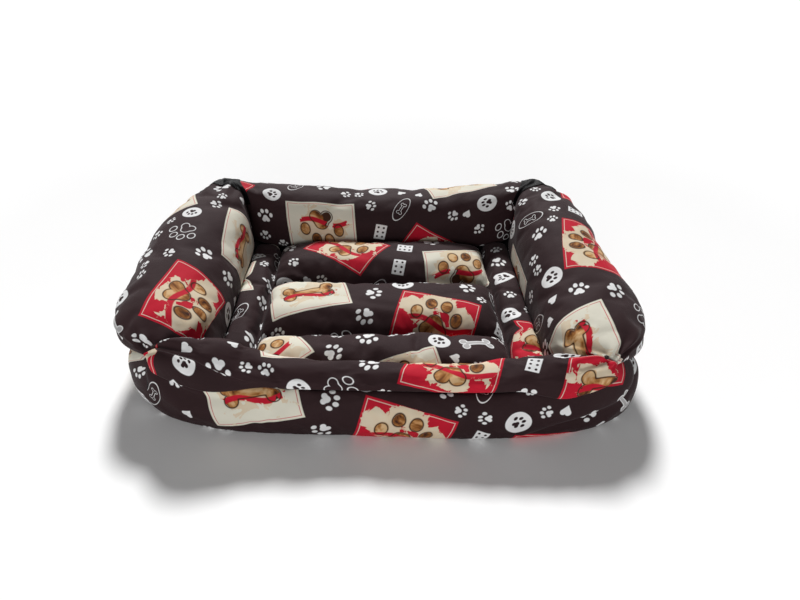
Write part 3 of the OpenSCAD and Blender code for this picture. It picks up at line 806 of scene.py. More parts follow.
    woven = add(tree, "ShaderNodeBump", {"Strength": 0.35, "Distance": 0.12 * MM, "Height": k["weave"]})
    # Fine wrinkles of a thin cloth over its soft filling
    crumple = add(
        tree, "ShaderNodeTexNoise", {"Vector": uv, "Scale": 55.0, "Detail": 4.0, "Distortion": 0.6},
        noise_dimensions="3D",
    )
    creased = add(
        tree, "ShaderNodeBump",
        {"Strength": 0.5, "Distance": 1.6 * MM, "Height": crumple.outputs["Fac"], "Normal": woven},
    )
    tree.links.new(creased.outputs[0], shader.inputs["Normal"])
    return material


def shaded(colour, share):
    """The colour with that share of its brightness."""
    return (*(min(1.0, share * c) for c in colour[:3]), 1.0)


def black_nylon(colours):
    """Coated nylon in a fine plain weave: near black, with a soft gloss on its folds."""
    material, tree, shader = new_material("coated_nylon", 0.36, {"Specular IOR Level": 0.04})
    place = add(tree, "ShaderNodeTexCoord").outputs["Object"]
    cloud = add(tree, "ShaderNodeTexNoise", {"Vector": place, "Scale": 35.0, "Detail": 3.0}).outputs["Fac"]
    k = worked_out(tree, [
        ("face", "OVER", "cloud", "nylon", "deeper"),
        # Threads lie 0.25 mm apart; they are drawn at 0.9 mm so that the gloss breaks up on them
        ("fine", "V_MULTIPLY", "place", (math.tau / NYLON_THREAD_DRAWN,) * 3),
        ("wave", "V_SINE", "fine"),
        ("weave", "V_DOT_PRODUCT", "wave", (1.0, 1.0, 1.0)),
    ], place=place, cloud=cloud, nylon=colours["nylon"], deeper=shaded(colours["nylon"], 0.6))
    tree.links.new(k["face"], shader.inputs["Base Color"])
    woven = add(tree, "ShaderNodeBump", {"Strength": 0.3, "Distance": 0.1 * MM, "Height": k["weave"]})
    tree.links.new(woven.outputs[0], shader.inputs["Normal"])
    return material


def sewing_thread(colours):
    """Spun polyester thread: matt dark brown, with the slant of its plies."""
    material, tree, shader = new_material("spun_thread", 0.7, {"Sheen Weight": 0.05, "Specular IOR Level": 0.15})
    place = add(tree, "ShaderNodeTexCoord").outputs["Object"]
    plies = add(
        tree, "ShaderNodeTexWave", {"Vector": place, "Scale": 520.0, "Distortion": 0.6},
        bands_direction="DIAGONAL",
    ).outputs["Fac"]
    steps = [("face", "OVER", "plies", "thread", "paler")]
    k = worked_out(tree, steps, plies=plies, thread=colours["thread"], paler=shaded(colours["thread"], 1.8))
    tree.links.new(k["face"], shader.inputs["Base Color"])
    slanted = add(tree, "ShaderNodeBump", {"Strength": 0.5, "Distance": 0.2 * MM, "Height": plies})
    tree.links.new(slanted.outputs[0], shader.inputs["Normal"])
    return material


MAKERS = {"print": printed_cotton, "nylon": black_nylon, "thread": sewing_thread}
made_materials = {}


def material_for(context, kind):
    if kind not in made_materials:
        group = context.scene.bed_colours
        colours = {name: tuple(getattr(group, name)) for name in BedColours.__annotations__}
        made_materials[kind] = MAKERS[kind](colours)
    return made_materials[kind]


# Pieces

# How the soft bed has slumped out of true. Where each part of it begins and where it is fully reached: to the
# right, to the left, backwards, forwards and up
RIGHT_PART, LEFT_PART = (0.19, 0.33), (0.17, 0.31)
REAR_PART, REAR_LEFT_PART, FRONT_PART = (-0.20, 0.06), (0.0, 0.16), (0.09, 0.21)
RAISED_PART, HIGH_PART = (0.05, 0.11), (0.07, 0.15)
# How far each corner has moved: the rear ones in, the front ones aside, and the whole front back, how far in its
# middle and how much less with each metre to the right
REAR_RIGHT_IN, REAR_LEFT_IN = 0.021, 0.013
FRONT_RIGHT_TOP_IN, FRONT_RIGHT_FOOT_OUT, FRONT_LEFT_OUT = 0.005, 0.012, 0.005
FRONT_BACK, FRONT_SKEW = 0.004, 0.030
# How deep the rear bolster sags, at what x and how broadly, and where it begins
SAG, SAG_AT, SAG_BREADTH, SAG_PART = 0.009, 0.03, 0.15, (0.13, 0.19)


def settled(point):
    """Moves a point as the bed has slumped: its rear corners drawn in, the right one further, its front right
    corner pushed out at the foot and its front left corner rounded off, and its rear bolster sunk on top."""
    right, left = rise(point.x, *RIGHT_PART), rise(-point.x, *LEFT_PART)
    front = rise(-point.y, *FRONT_PART)
    aside = REAR_LEFT_IN * left * rise(point.y, *REAR_LEFT_PART)
    aside -= REAR_RIGHT_IN * right * rise(point.y, *REAR_PART)
    foot_or_top = lerp(FRONT_RIGHT_FOOT_OUT, -FRONT_RIGHT_TOP_IN, rise(point.z, *RAISED_PART))
    aside += front * (right * foot_or_top - FRONT_LEFT_OUT * left)
    back = front * (FRONT_BACK - FRONT_SKEW * point.x)
    down = SAG * bump(point.x, SAG_AT, SAG_BREADTH) * rise(point.y, *SAG_PART)
    return point + Vector((aside, back, -down * rise(point.z, *HIGH_PART)))


# Where the two tacks stand before the bed has slumped
TACKS = [sum(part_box("corner_tack_front_" + side), Vector()) / 2 for side in ("left", "right")]
# The folds that run out from a tack, how uneven they are, and the dimple in which it sits
TACK_FOLDS, TACK_FOLDS_UNEVEN = 5, 1.3
TACK_FOLD_HEIGHT, TACK_FOLD_REACH = 0.0026, 0.022
TACK_DIMPLE, TACK_DIMPLE_BREADTH = 0.0026, 0.013
TACK_FAR = 5 * TACK_FOLD_REACH


def drawn_in(point, out):
    """How far out the nearer tack moves the cloth: folds that run out from it, and the dimple round it."""
    off = point - TACKS[0 if point.x < 0 else 1]
    distance = off.length
    if distance > TACK_FAR:
        return 0.0
    off -= out * off.dot(out)
    far = off.length / TACK_FOLD_REACH
    turn = math.atan2(off.z, off.dot(UP.cross(out)))
    wave = math.sin(TACK_FOLDS * turn + TACK_FOLDS_UNEVEN * math.sin(2 * turn))
    folds = TACK_FOLD_HEIGHT * wave * far * math.exp(1 - far)
    return folds - TACK_DIMPLE * bump(distance, 0, TACK_DIMPLE_BREADTH)


# How much closer the sections of a bolster stand at its ends, where it is folded most
END_CROWDING = 0.55


def end_crowded(a):
    """Moves an even share towards the nearer end."""
    return lerp(a, (1 - math.cos(math.pi * a)) / 2, END_CROWDING)


# Which part of a bolster's section is loose, by the sine of its angle
UPPER_PART = (-0.35, 0.35)
# Lumps as (height, breadth, seed), and creases: how deep, and how far apart on bolsters that run across and along
BOLSTER_LUMPS = ((0.0026, 0.085, 1), (0.0013, 0.032, 7))
BOLSTER_CREASE, ACROSS_STRETCH, ALONG_STRETCH = 0.0016, (0.11, 0.035, 0.04), (0.045, 0.10, 0.05)
# Gathers at a bolster's ends: how high, how many round it, how much they wander and slant, and where they run
GATHER_HEIGHT, GATHERS, GATHER_WANDER, GATHER_SLANT = 0.0026, 8, 2.2, 14
GATHER_SPAN = (0, 0.006, 0, 0.085)
# The inner side that sags onto the pad: how far, round which angle, over what part of it, and how it starts
INNER_SAG, INNER_SAG_ANGLE, INNER_SAG_PART, INNER_SAG_START = 0.004, -30, (0.6, 2.8 / 3), 0.03
FRONT_SAG_SHARE = 0.3
# Where a tack starts to draw in the end of a bolster, and over what of its loose part
TACK_START, TACK_PART = 0.004, (0, 2 / 3)
# The fuller left end of the front bolster: how high, how far in, where and how broad
LOBE_RISE, LOBE_IN, LOBE_AT, LOBE_BREADTH, LOBE_START = 0.016, 0.006, 0.085, 0.095, 0.03
# How both its ends hang over the base: over which shares of its length, how far, and round which angle
LEFT_HANG, RIGHT_HANG, RIGHT_HANG_SHARE = (0, 0.03, 0.12, 0.25), (0.79, 0.89, 0.98, 1), 1.1
HANG_OUT, HANG_DOWN, HANG_ANGLE, HANG_BREADTH = 0.010, 0.013, 214, 38
# The fold that slants down that end: its angle, slant and breadth in degrees, its depth, and the lip over it
LOBE_FOLD_ANGLE, LOBE_FOLD_SLANT, LOBE_FOLD_BREADTH, LOBE_FOLD_DEPTH = 160, 110, 7, 0.0105
LOBE_LIP, LOBE_LIP_ANGLE = 0.0022, 16


def lobe_fold(t, angle):
    """How far the fold down the front bolster's fuller end has closed, from 0 to 1."""
    return span(t, *LEFT_HANG) * bump(angle, LOBE_FOLD_ANGLE + LOBE_FOLD_SLANT * t, LOBE_FOLD_BREADTH)


def dressed_bolster_point(form, side, t, angle):
    """The CAD cover's surface with what a stuffed cover adds: lumps, folds, gathers at its ends, and an inner side
    that sags onto the pad."""
    line = form.line(side, t)
    point = form.bolster_point(side, t, angle)
    turn, out = math.radians(angle), line["out"]
    normal = facing(out, angle)
    upper = rise(math.sin(turn), *UPPER_PART)
    from_end = min(t, 1 - t) * form.side_length(side)
    wander = GATHER_WANDER * math.sin(turn * 2 + side) + side + GATHER_SLANT * from_end
    loose = lumpy(point, BOLSTER_LUMPS, side)
    loose -= BOLSTER_CREASE * crease(point, ACROSS_STRETCH if side % 2 == 0 else ALONG_STRETCH, side + 2)
    loose += GATHER_HEIGHT * span(from_end, *GATHER_SPAN) * math.sin(turn * GATHERS + wander)
    sag = INNER_SAG * rise(math.cos(turn - math.radians(INNER_SAG_ANGLE)), *INNER_SAG_PART)
    sag *= smooth(from_end / INNER_SAG_START) * (FRONT_SAG_SHARE if side == FRONT else 1.0)
    point = point + normal * (upper * loose + sag)
    if line["at_front"]:
        point += normal * rise(upper, *TACK_PART) * drawn_in(point, out) * smooth(from_end / TACK_START)
    if side == FRONT:
        lobe = bump(t, LOBE_AT, LOBE_BREADTH) * smooth(t / LOBE_START)
        point += Vector((0, LOBE_IN * lobe * max(0.0, math.cos(turn)), LOBE_RISE * lobe * upper))
        hang = span(t, *LEFT_HANG) + RIGHT_HANG_SHARE * span(t, *RIGHT_HANG)
        point += (out * HANG_OUT - UP * HANG_DOWN) * hang * bump(angle, HANG_ANGLE, HANG_BREADTH)
        lip = LOBE_LIP * lobe_fold(t, angle + LOBE_LIP_ANGLE)
        point += normal * (lip - LOBE_FOLD_DEPTH * lobe_fold(t, angle))
    return point


BOLSTER_ROUND = 64
BOLSTER_STEP = 0.005
# Which part of a bolster's section is free to swell, by the sine of its angle, and how much of its ends is held
FREE_PART, END_HELD = (-0.5, 0.4), 0.03
# How much of the cloth's freedom a fold takes
FOLD_HOLD = 0.9
# How far two edges may lie apart and still be one seam
SEAM_REACH = 0.00002
# The pressure in a cover, its slack, and how far it may swell; the rear bolster is slack on top
PLUMP, REAR_PLUMP = (4.0, 0.012, 0.005), (4.0, 0.012, 0.0015)
BASE_PLUMP, PAD_PLUMP = (3.0, 0.01, 0.004), (3.5, 0.02, 0.004)
# Where the print starts on each bolster, on the base and on the pad
PRINT_SHIFTS = ((0.031, 0.052), (0.118, 0.083), (0.067, 0.142), (0.013, 0.021))
BASE_PRINT_SHIFT, PAD_PRINT_SHIFT = (0.09, 0.066), (0.04, 0.115)


def make_bolster(context, side):
    form = bed_form(context)
    mitre = form.ease / 2 / form.side_length(side)
    columns = 2 * round(form.side_length(side) / BOLSTER_STEP / 2)

    def section_angle(b):
        return 270 - 360 * b

    def place(a, b):
        t = min(1 - mitre, max(mitre, end_crowded(a)))
        return settled(dressed_bolster_point(form, side, t, section_angle(b)))

    sheet, spot = cloth_grid(columns, BOLSTER_ROUND, place, shift=PRINT_SHIFTS[side])
    free = sheet.verts.layers.float.new("free")
    for v in sheet.verts:
        i, j = spot[v.index]
        t, angle = end_crowded(i / columns), section_angle(j / BOLSTER_ROUND)
        past_end = smooth(min(t, 1 - t) * form.side_length(side) / END_HELD)
        v[free] = rise(math.sin(math.radians(angle)), *FREE_PART) * past_end
        if side == FRONT:
            v[free] *= 1 - FOLD_HOLD * lobe_fold(t, angle)
    bmesh.ops.remove_doubles(sheet, verts=sheet.verts, dist=SEAM_REACH)
    name = "bolster_" + SIDE_NAMES[side]
    piece = cover_piece(context, name, sheet, free, REAR_PLUMP if side == REAR else PLUMP, whole_print=True)
    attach(piece, "root")
    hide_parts(name + "_cover", name + "_filling")


BASE_COLUMNS, FLOOR_ROWS, BAND_ROWS, SEAT_ROWS = 88, 3, 26, 8
BASE_ROWS = FLOOR_ROWS + BAND_ROWS + SEAT_ROWS
# The middle of the front of the band, where the print starts
BAND_ORIGIN = (0.125, (FLOOR_ROWS + BAND_ROWS / 2) / BASE_ROWS)
# How much of the underside is cloth of its own round the flat panel that closes it
FLOOR_SHARE = 0.9
# How sharply the band's freedom to swell ends at its seams
BAND_FREEDOM = 1.4
BAND_LUMPS = ((0.0028, 0.085, 3), (0.0012, 0.035, 5))
BAND_CREASE, BAND_STRETCH, BAND_CREASE_SEED = 0.0014, (0.12, 0.05, 0.03), 4
FOLD_DEPTH, FOLD_BREADTH = 0.0075, 0.0065
# The long fold that runs from the front left corner along the band: its heights there and where it has run out,
# the share of the front where it bends, where it starts and fades, and its lip's height, place and breadth
FOLD_TOP, FOLD_FOOT, FOLD_BEND, FOLD_START, FOLD_FADES = 0.088, 0.054, 0.11, 0.02, (0.15, 0.27)
LEFT_LIP, LEFT_LIP_UP, LEFT_LIP_BREADTH = 0.0030, -0.016, 0.013
# The fold that curves down from the front right tack and along the foot of the band: its height at the corner, how
# it climbs past it and before it, over what stretch it runs, and its lip
RIGHT_FOLD_UP, RIGHT_FOLD_CLIMB, RIGHT_FOLD_SLOPE = 0.038, 1.15, 0.35
RIGHT_FOLD_SPAN = (-0.10, -0.05, 0.037, 0.052)
RIGHT_LIP, RIGHT_LIP_UP, RIGHT_LIP_BREADTH = 0.0032, 0.017, 0.012
# Over how many degrees below the widest line a tack's folds fade
TACK_FADE = 40


def left_fold(side, t):
    """The height of the long fold at the front left, and how deep it runs there, from 0 to 1."""
    if side != FRONT:
        return 0.0, 0.0
    height = FOLD_FOOT + (FOLD_TOP - FOLD_FOOT) * max(0.0, 1 - t / FOLD_BEND) ** 2
    return height, 1 - rise(t, *FOLD_FADES)


def right_fold(form, side, t):
    """The same of the fold round the front right corner."""
    if side not in (FRONT, RIGHT):
        return 0.0, 0.0
    onward = t * form.side_length(RIGHT) if side == RIGHT else (t - 1) * form.side_length(FRONT)
    height = RIGHT_FOLD_UP + onward * (RIGHT_FOLD_CLIMB if onward > 0 else RIGHT_FOLD_SLOPE)
    return height, span(onward, *RIGHT_FOLD_SPAN)


def band_held(form, side, t, height):
    """How far the folds hold the band in at that height, from 0 to 1."""
    (left_at, left), (right_at, right) = left_fold(side, t), right_fold(form, side, t)
    left *= bump(height, left_at, FOLD_BREADTH) * smooth(t / FOLD_START)
    return left + right * bump(height, right_at, FOLD_BREADTH)


def dressed_band_point(form, side, t, angle):
    """The CAD band's surface with soft lumps, the folds round the tacks and those at the front corners."""
    line = form.line(side, t)
    point = form.base_point(side, t, angle)
    swell = math.cos(math.radians(angle))
    if swell <= 0:
        return point
    (left_at, left), (right_at, right) = left_fold(side, t), right_fold(form, side, t)
    lumps = lumpy(point, BAND_LUMPS) - BAND_CREASE * crease(point, BAND_STRETCH, BAND_CREASE_SEED)
    lumps -= FOLD_DEPTH * band_held(form, side, t, point.z)
    lumps += LEFT_LIP * left * bump(point.z, left_at + LEFT_LIP_UP, LEFT_LIP_BREADTH)
    lumps += RIGHT_LIP * right * bump(point.z, right_at + RIGHT_LIP_UP, RIGHT_LIP_BREADTH)
    if line["at_front"]:
        lumps += drawn_in(point, line["out"]) * (1.0 if angle > 0 else smooth(1 + angle / TACK_FADE))
    return point + line["out"] * swell ** 0.5 * lumps


def make_base_cushion(context):
    form = bed_form(context)

    def spot_on_base(a):
        """The side at share a of the way round, and the share of that side."""
        side = min(3, int(a * 4))
        return side, a * 4 - side

    def band_angle(row):
        return lerp(-90, 90, (row - FLOOR_ROWS) / BAND_ROWS)

    def place(a, b):
        side, t = spot_on_base(a)
        row = b * BASE_ROWS
        if row <= FLOOR_ROWS:
            inner, edge = form.line(side, t)["inner"], form.base_point(side, t, -90)
            share = lerp(FLOOR_SHARE, 1.0, row / FLOOR_ROWS)
            return settled(Vector((inner.x, inner.y, 0)).lerp(Vector((edge.x, edge.y, 0)), share))
        if row <= FLOOR_ROWS + BAND_ROWS:
            return settled(dressed_band_point(form, side, t, band_angle(row)))
        return settled(form.seat_point(side, t, 1 - (row - FLOOR_ROWS - BAND_ROWS) / SEAT_ROWS))

    columns = 4 * BASE_COLUMNS
    sheet, spot = cloth_grid(columns, BASE_ROWS, place, BAND_ORIGIN, BASE_PRINT_SHIFT)
    free = sheet.verts.layers.float.new("free")
    for v in sheet.verts:
        i, j = spot[v.index]
        (side, t), angle = spot_on_base(i / columns), band_angle(j)
        if abs(angle) < 90:
            v[free] = smooth(math.cos(math.radians(angle)) * BAND_FREEDOM)
            v[free] *= 1 - FOLD_HOLD * band_held(form, side, t, form.base_point(side, t, angle).z)
    for face in sheet.faces:
        rows = [spot[v.index][1] for v in face.verts]
        if min(rows) < FLOOR_ROWS or max(rows) > FLOOR_ROWS + BAND_ROWS:
            face.material_index = 1
    bmesh.ops.remove_doubles(sheet, verts=sheet.verts, dist=SEAM_REACH)
    piece = cover_piece(context, "base_cushion", sheet, free, BASE_PLUMP)
    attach(piece, "root")
    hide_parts("base_border_band", "base_filling", "base_top_panel", "base_bottom_panel")


# Where the pad's three cross rolls meet, as shares of its length
ROLL_SHARES = (0, 0.27, 0.665, 1)
# How far the pad's full edge presses under the side and rear bolsters, and under the front one
TUCK, FRONT_TUCK = 0.007, 0.002
# How far the pad stays off the nest, how high its seams lie, and half their breadth
PAD_GAP, SEWN, HALF_SEAM = 0.001, 0.0031, 0.001
# How full the sections of its rolls and side channels are, across and along, as the powers of their outlines
ROLL_POWERS, CHANNEL_POWERS = (2.5, 4), (2.9, 7)


class PadForm:
    """The heights of the pad over its underside, as in the part's source."""

    def __init__(self, form):
        s = form.sizes
        self.half_width = form.nest_half_width - PAD_GAP + TUCK
        self.front, self.rear = form.nest_front + PAD_GAP - FRONT_TUCK, form.nest_rear - PAD_GAP + TUCK
        self.seam = self.half_width - TUCK - s.channel_width
        self.floor = s.base_height + form.ease
        self.thickness, self.channel = s.pad_thickness, s.channel_thickness
        self.roll_edges = [lerp(self.front + FRONT_TUCK, self.rear - TUCK, share) for share in ROLL_SHARES]
        self.roll_edges[0], self.roll_edges[-1] = self.front, self.rear

    @staticmethod
    def arch(v, low, high, power):
        u = abs(2 * (v - low) / (high - low) - 1)
        return 0.0 if u >= 1 else (1 - u ** power) ** (1 / power)

    def height(self, x, y):
        (across, along), edges, inner = ROLL_POWERS, self.roll_edges, self.seam - HALF_SEAM
        roll = max(self.arch(y, low + HALF_SEAM, high - HALF_SEAM, across) for low, high in zip(edges, edges[1:]))
        roll *= self.arch(x, -inner, inner, along)
        across, along = CHANNEL_POWERS
        channel = self.arch(abs(x), self.seam + HALF_SEAM, self.half_width, across)
        channel *= self.arch(y, self.front, self.rear, along)
        return max(lerp(SEWN, self.thickness, roll), lerp(SEWN, self.channel, channel))


PAD_COLUMNS, PAD_ROWS = 108, 86
# How high over its seams the pad counts as full, and how high its edge starts to lean in towards its foot
PAD_FULL, PAD_LEANS = 0.012, 0.010
# How far from its edge the pad leans, and over what breadth that grows
EDGE_STRIP, EDGE_GROWS = 0.012, 0.008
PAD_LUMPS = ((0.0024, 0.07, 11),)
PAD_CREASE, PAD_STRETCH, PAD_CREASE_SEED = 0.0016, (0.10, 0.04, 1), 6
# Puckers between the seams and the full cloth: how high, how far apart along a cross seam, their seed, and how
# much further apart the other way
PUCKER_HEIGHT, PUCKER_APART, PUCKER_SEED, PUCKER_STRETCH = 0.0024, 0.014, 12, 0.3
# How much of the full cloth stays puckered, and how far from a seam the cloth is free to swell
PUCKERS_LEFT, SEAM_HELD = 1.3, 0.0005


def make_pad(context):
    form = bed_form(context)
    pad = PadForm(form)

    def place(a, b):
        x, y = lerp(-pad.half_width, pad.half_width, a), lerp(pad.front, pad.rear, b)
        height = pad.height(x, y)
        full = smooth((height - SEWN) / PAD_FULL)
        lumps = lumpy((x, y, 0), PAD_LUMPS) - PAD_CREASE * crease((x, y, 0), PAD_STRETCH, PAD_CREASE_SEED)
        puckers = PUCKER_HEIGHT * ripple((x, y * PUCKER_STRETCH, 0), PUCKER_APART, PUCKER_SEED)
        puckers *= full * (PUCKERS_LEFT - full)
        # The edge leans in towards its foot, where the bolsters leave it less room
        foot = 1 - smooth((height - SEWN) / PAD_LEANS)
        from_side, from_end = pad.half_width - abs(x), min(y - pad.front, pad.rear - y)
        x -= math.copysign(TUCK, x) * foot * smooth((EDGE_STRIP - from_side) / EDGE_GROWS)
        tuck = TUCK if y > 0 else -FRONT_TUCK
        y -= tuck * foot * smooth((EDGE_STRIP - from_end) / EDGE_GROWS)
        return settled(Vector((x, y, pad.floor + height + full * lumps + puckers)))

    sheet, _ = cloth_grid(PAD_COLUMNS, PAD_ROWS, place, shift=PAD_PRINT_SHIFT)
    free = sheet.verts.layers.float.new("free")
    for v in sheet.verts:
        v[free] = smooth((v.co.z - pad.floor - SEWN - SEAM_HELD) / PAD_FULL)
    rim = [e for e in sheet.edges if e.is_boundary]
    for part in bmesh.ops.extrude_edge_only(sheet, edges=rim)["geom"]:
        if isinstance(part, bmesh.types.BMVert):
            part.co.z, part[free] = pad.floor, 0.0
        elif isinstance(part, bmesh.types.BMFace):
            part.material_index = 1
    piece = cover_piece(context, "pad", sheet, free, PAD_PLUMP)
    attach(piece, "root")
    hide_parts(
        "pad_top_sheet", "pad_bottom_sheet", "pad_filling_front", "pad_filling_middle", "pad_filling_rear",
        "pad_filling_left", "pad_filling_right",
    )
    make_pad_stitches(context, pad, piece)


STITCH_STEP = 0.0058
STITCH_HALF = (0.0019, 0.00042, 0.00034)
# How far each stitch slants across its row
STITCH_SLANT = 0.12


def sew(stitches, surface, place):
    """Adds a row of stitches from place(0) to place(1), each laid on the surface under its middle."""
    count = round((place(1) - place(0)).length / STITCH_STEP)
    places = [place(k / count) for k in range(count + 1)]
    shape = Matrix.Rotation(STITCH_SLANT, 4, "Z") @ Matrix.Diagonal((*STITCH_HALF, 1.0))
    for here, there in zip(places, places[1:]):
        middle, along = (here + there) / 2, (there - here).normalized()
        at, normal = surface.find_nearest(middle)[:2]
        aside = normal.cross(along).normalized()
        axes = Matrix((along, aside, along.cross(aside))).transposed().to_4x4()
        laid = Matrix.Translation(at) @ axes @ shape
        bmesh.ops.create_icosphere(stitches, subdivisions=2, radius=1.0, matrix=laid)


def surface_of(piece, context):
    return BVHTree.FromObject(piece, context.evaluated_depsgraph_get())


# How far from the pad's front, its rear and its side seams its stitches end
STITCH_ENDS = (0.006, 0.010, 0.004)
# A height over the whole bed
OVER_BED = UP * 0.3


def make_pad_stitches(context, pad, piece):
    """The stitches of the pad's seams: two rows from front to rear, and two across between them."""
    surface = surface_of(piece, context)
    from_front, from_rear, from_side = STITCH_ENDS
    right = pad.seam - from_side
    rows = [((x, pad.front + from_front), (x, pad.rear - from_rear)) for x in (-pad.seam, pad.seam)]
    rows += [((-right, y), (right, y)) for y in pad.roll_edges[1:-1]]
    stitches = bmesh.new()
    for (x0, y0), (x1, y1) in rows:

        def on_seam(share):
            over = settled(Vector((lerp(x0, x1, share), lerp(y0, y1, share), 0)))
            hit = surface.ray_cast(over + OVER_BED, -UP)[0]
            if hit is None:
                raise RuntimeError("A stitch of the pad found no cloth under it")
            return hit

        sew(stitches, surface, on_seam)
    row = finished("pad_stitches", stitches, [material_for(context, "thread")])
    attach(row, "root")


PATCH_COLUMNS, PATCH_ROWS = 32, 28
# How far a patch reaches along each of its two bolsters, as a share of their length, its width on the nest side
# as a share of that, and over what part of its length it widens
PATCH_SHARE, PATCH_TIP_SHARE, PATCH_WIDENS = 0.065, 0.16, (0.1, 2.3 / 3)
# The two angles between which it covers the bolsters' ends. From the first, on the nest side, up to about 80
# degrees it runs down the mitre as a black sheet laid where the mitre lies in shade: painted shade. From there
# over the top and outwards it is the nylon patch itself
PATCH_SHADE_FROM, PATCH_TO = 28, 192
# How thick it is, how far it stands off the covers and what share of that at its edges, and its low ridge along
# the mitre
PATCH_THICKNESS, PATCH_LIFT, PATCH_EDGE_LIFT = 0.0008, 0.0022, 0.6
PATCH_SIDES, PATCH_END = (0, 0.2), (0, 0.25)
RIDGE_HEIGHT, RIDGE_BREADTH = 0.0022, 0.16
# How far in from its edges its stitches run, as shares of its width and length: along both sides, where those rows
# start and end, and across its outer end
PATCH_HEM, PATCH_ROW_END, OUTER_HEM, OUTER_ROW_END = 0.035, 0.02, 0.03, 0.06


def flat_cut(columns, rows, place):
    """The width, length and area of a sheet laid flat, measured along the cloth: its longest rows and columns, and
    the sum of its quads."""
    points = [[place(i / columns, j / rows) for j in range(rows + 1)] for i in range(columns + 1)]

    def run(line):
        return sum((b - a).length for a, b in zip(line, line[1:]))

    area = sum(
        (points[i + 1][j + 1] - points[i][j]).cross(points[i][j + 1] - points[i + 1][j]).length / 2
        for i in range(columns) for j in range(rows)
    )
    return max(run(line) for line in zip(*points)), max(run(line) for line in points), area


def make_corner_patch(context, side, name):
    """A patch of black nylon from the end of one bolster, over the mitre, to the start of the next. Its narrow tip
    down the mitre on the nest side is painted shade: a black sheet laid where the mitre lies in shade.
    """
    form = bed_form(context)
    onward = (side + 1) % 4

    def place(a, b):
        share = PATCH_SHARE * lerp(PATCH_TIP_SHARE, 1.0, rise(b, *PATCH_WIDENS))
        if a <= 0.5:
            at, t = side, lerp(1 - share, 1 - form.ease / form.side_length(side), 2 * a)
        else:
            at, t = onward, lerp(form.ease / form.side_length(onward), share, 2 * a - 1)
        # From the first angle up the nest side the patch is painted shade in the mitre, and further on it is the
        # nylon patch
        angle = lerp(PATCH_SHADE_FROM, PATCH_TO, b)
        # Its edges lie closer to the covers than its middle, and a low ridge runs along the mitre
        inside = rise(min(a, 1 - a), *PATCH_SIDES) * rise(b, *PATCH_END)
        lift = PATCH_LIFT * lerp(PATCH_EDGE_LIFT, 1.0, inside)
        lift += RIDGE_HEIGHT * bump(a, 0.5, RIDGE_BREADTH) * math.sin(math.pi * b)
        normal = facing(form.line(at, t)["out"], angle)
        return settled(dressed_bolster_point(form, at, t, angle) + normal * lift)

    sheet, _ = cloth_grid(PATCH_COLUMNS, PATCH_ROWS, place)
    piece = finished(name + "_nylon", sheet, [material_for(context, "nylon")])
    *size, area = flat_cut(PATCH_COLUMNS, PATCH_ROWS, place)
    stuff = piece.modifiers.new("thickness", "SOLIDIFY")
    stuff.thickness, stuff.offset = PATCH_THICKNESS, 0
    subdivided(piece)
    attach(piece, "root")
    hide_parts(name)
    surface = surface_of(piece, context)
    stitches = bmesh.new()
    for a in (PATCH_HEM, 1 - PATCH_HEM):
        sew(stitches, surface, lambda share: place(a, lerp(PATCH_ROW_END, 1 - PATCH_ROW_END, share)))
    sew(stitches, surface, lambda share: place(lerp(OUTER_ROW_END, 1 - OUTER_ROW_END, share), 1 - OUTER_HEM))
    rows = finished(name + "_stitches", stitches, [material_for(context, "thread")])
    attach(rows, "root")


# The turns of cord that a tack is knotted from: each lies tilted about two axes, with its own share of the radius
KNOT_TURNS = ((12, 0, 1.0), (-20, 35, 0.96), (28, 80, 0.94), (76, 20, 0.86), (82, 110, 0.84), (-62, 150, 0.9))
# The radius of the core that fills the knot, and that of its cord, as shares of the knot's
CORE_SHARE, CORD_SHARE = 0.72, 0.24
CORD_SEGMENTS, TURN_STEPS = 10, 32
# From where a knot is set down on the cloth, and how far it stands out of it as a share of its radius
KNOT_REACH = Vector((0, -0.004, 0.006))
KNOT_STAND_SHARE = 0.3


def make_corner_tack(context, name, place, bolsters):
    """A tack of cord: turns drawn tight over each other round the place where two bolster ends meet."""
    low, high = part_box(name)
    radius = (high.x - low.x) / 2
    cord = radius * CORD_SHARE
    knot = bmesh.new()
    bmesh.ops.create_icosphere(knot, subdivisions=3, radius=radius * CORE_SHARE)
    for tilt, turn, share in KNOT_TURNS:
        before = set(knot.verts)
        ring = bmesh.ops.create_circle(knot, segments=CORD_SEGMENTS, radius=cord)["verts"]
        bmesh.ops.rotate(knot, verts=ring, cent=(0, 0, 0), matrix=Matrix.Rotation(math.pi / 2, 3, "X"))
        bmesh.ops.translate(knot, verts=ring, vec=(radius * share - cord, 0, 0))
        edges = list({e for v in ring for e in v.link_edges})
        bmesh.ops.spin(
            knot, geom=ring + edges, cent=(0, 0, 0), axis=UP, angle=math.tau, steps=TURN_STEPS, use_merge=True
        )
        turned = Matrix.Rotation(math.radians(turn), 3, "Z") @ Matrix.Rotation(math.radians(tilt), 3, "Y")
        bmesh.ops.rotate(knot, verts=[v for v in knot.verts if v not in before], cent=(0, 0, 0), matrix=turned)
    surfaces = [surface_of(bpy.data.objects[bolster], context) for bolster in bolsters]
    found = [surface.find_nearest(settled(place) + KNOT_REACH) for surface in surfaces]
    at, normal = min(found, key=lambda hit: hit[3])[:2]
    bmesh.ops.translate(knot, verts=knot.verts, vec=at + normal * radius * KNOT_STAND_SHARE)
    piece = finished(name + "_knot", knot, [material_for(context, "thread")])
    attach(piece, "root")
    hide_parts(name)


# Operators, one for each piece or group of like pieces

class BED_OT_base(Operator):
    """Make the stuffed base with its printed band"""

    bl_idname = "bed.make_base"
    bl_label = "Make the base"

    def execute(self, context):
        make_base_cushion(context)
        return {"FINISHED"}


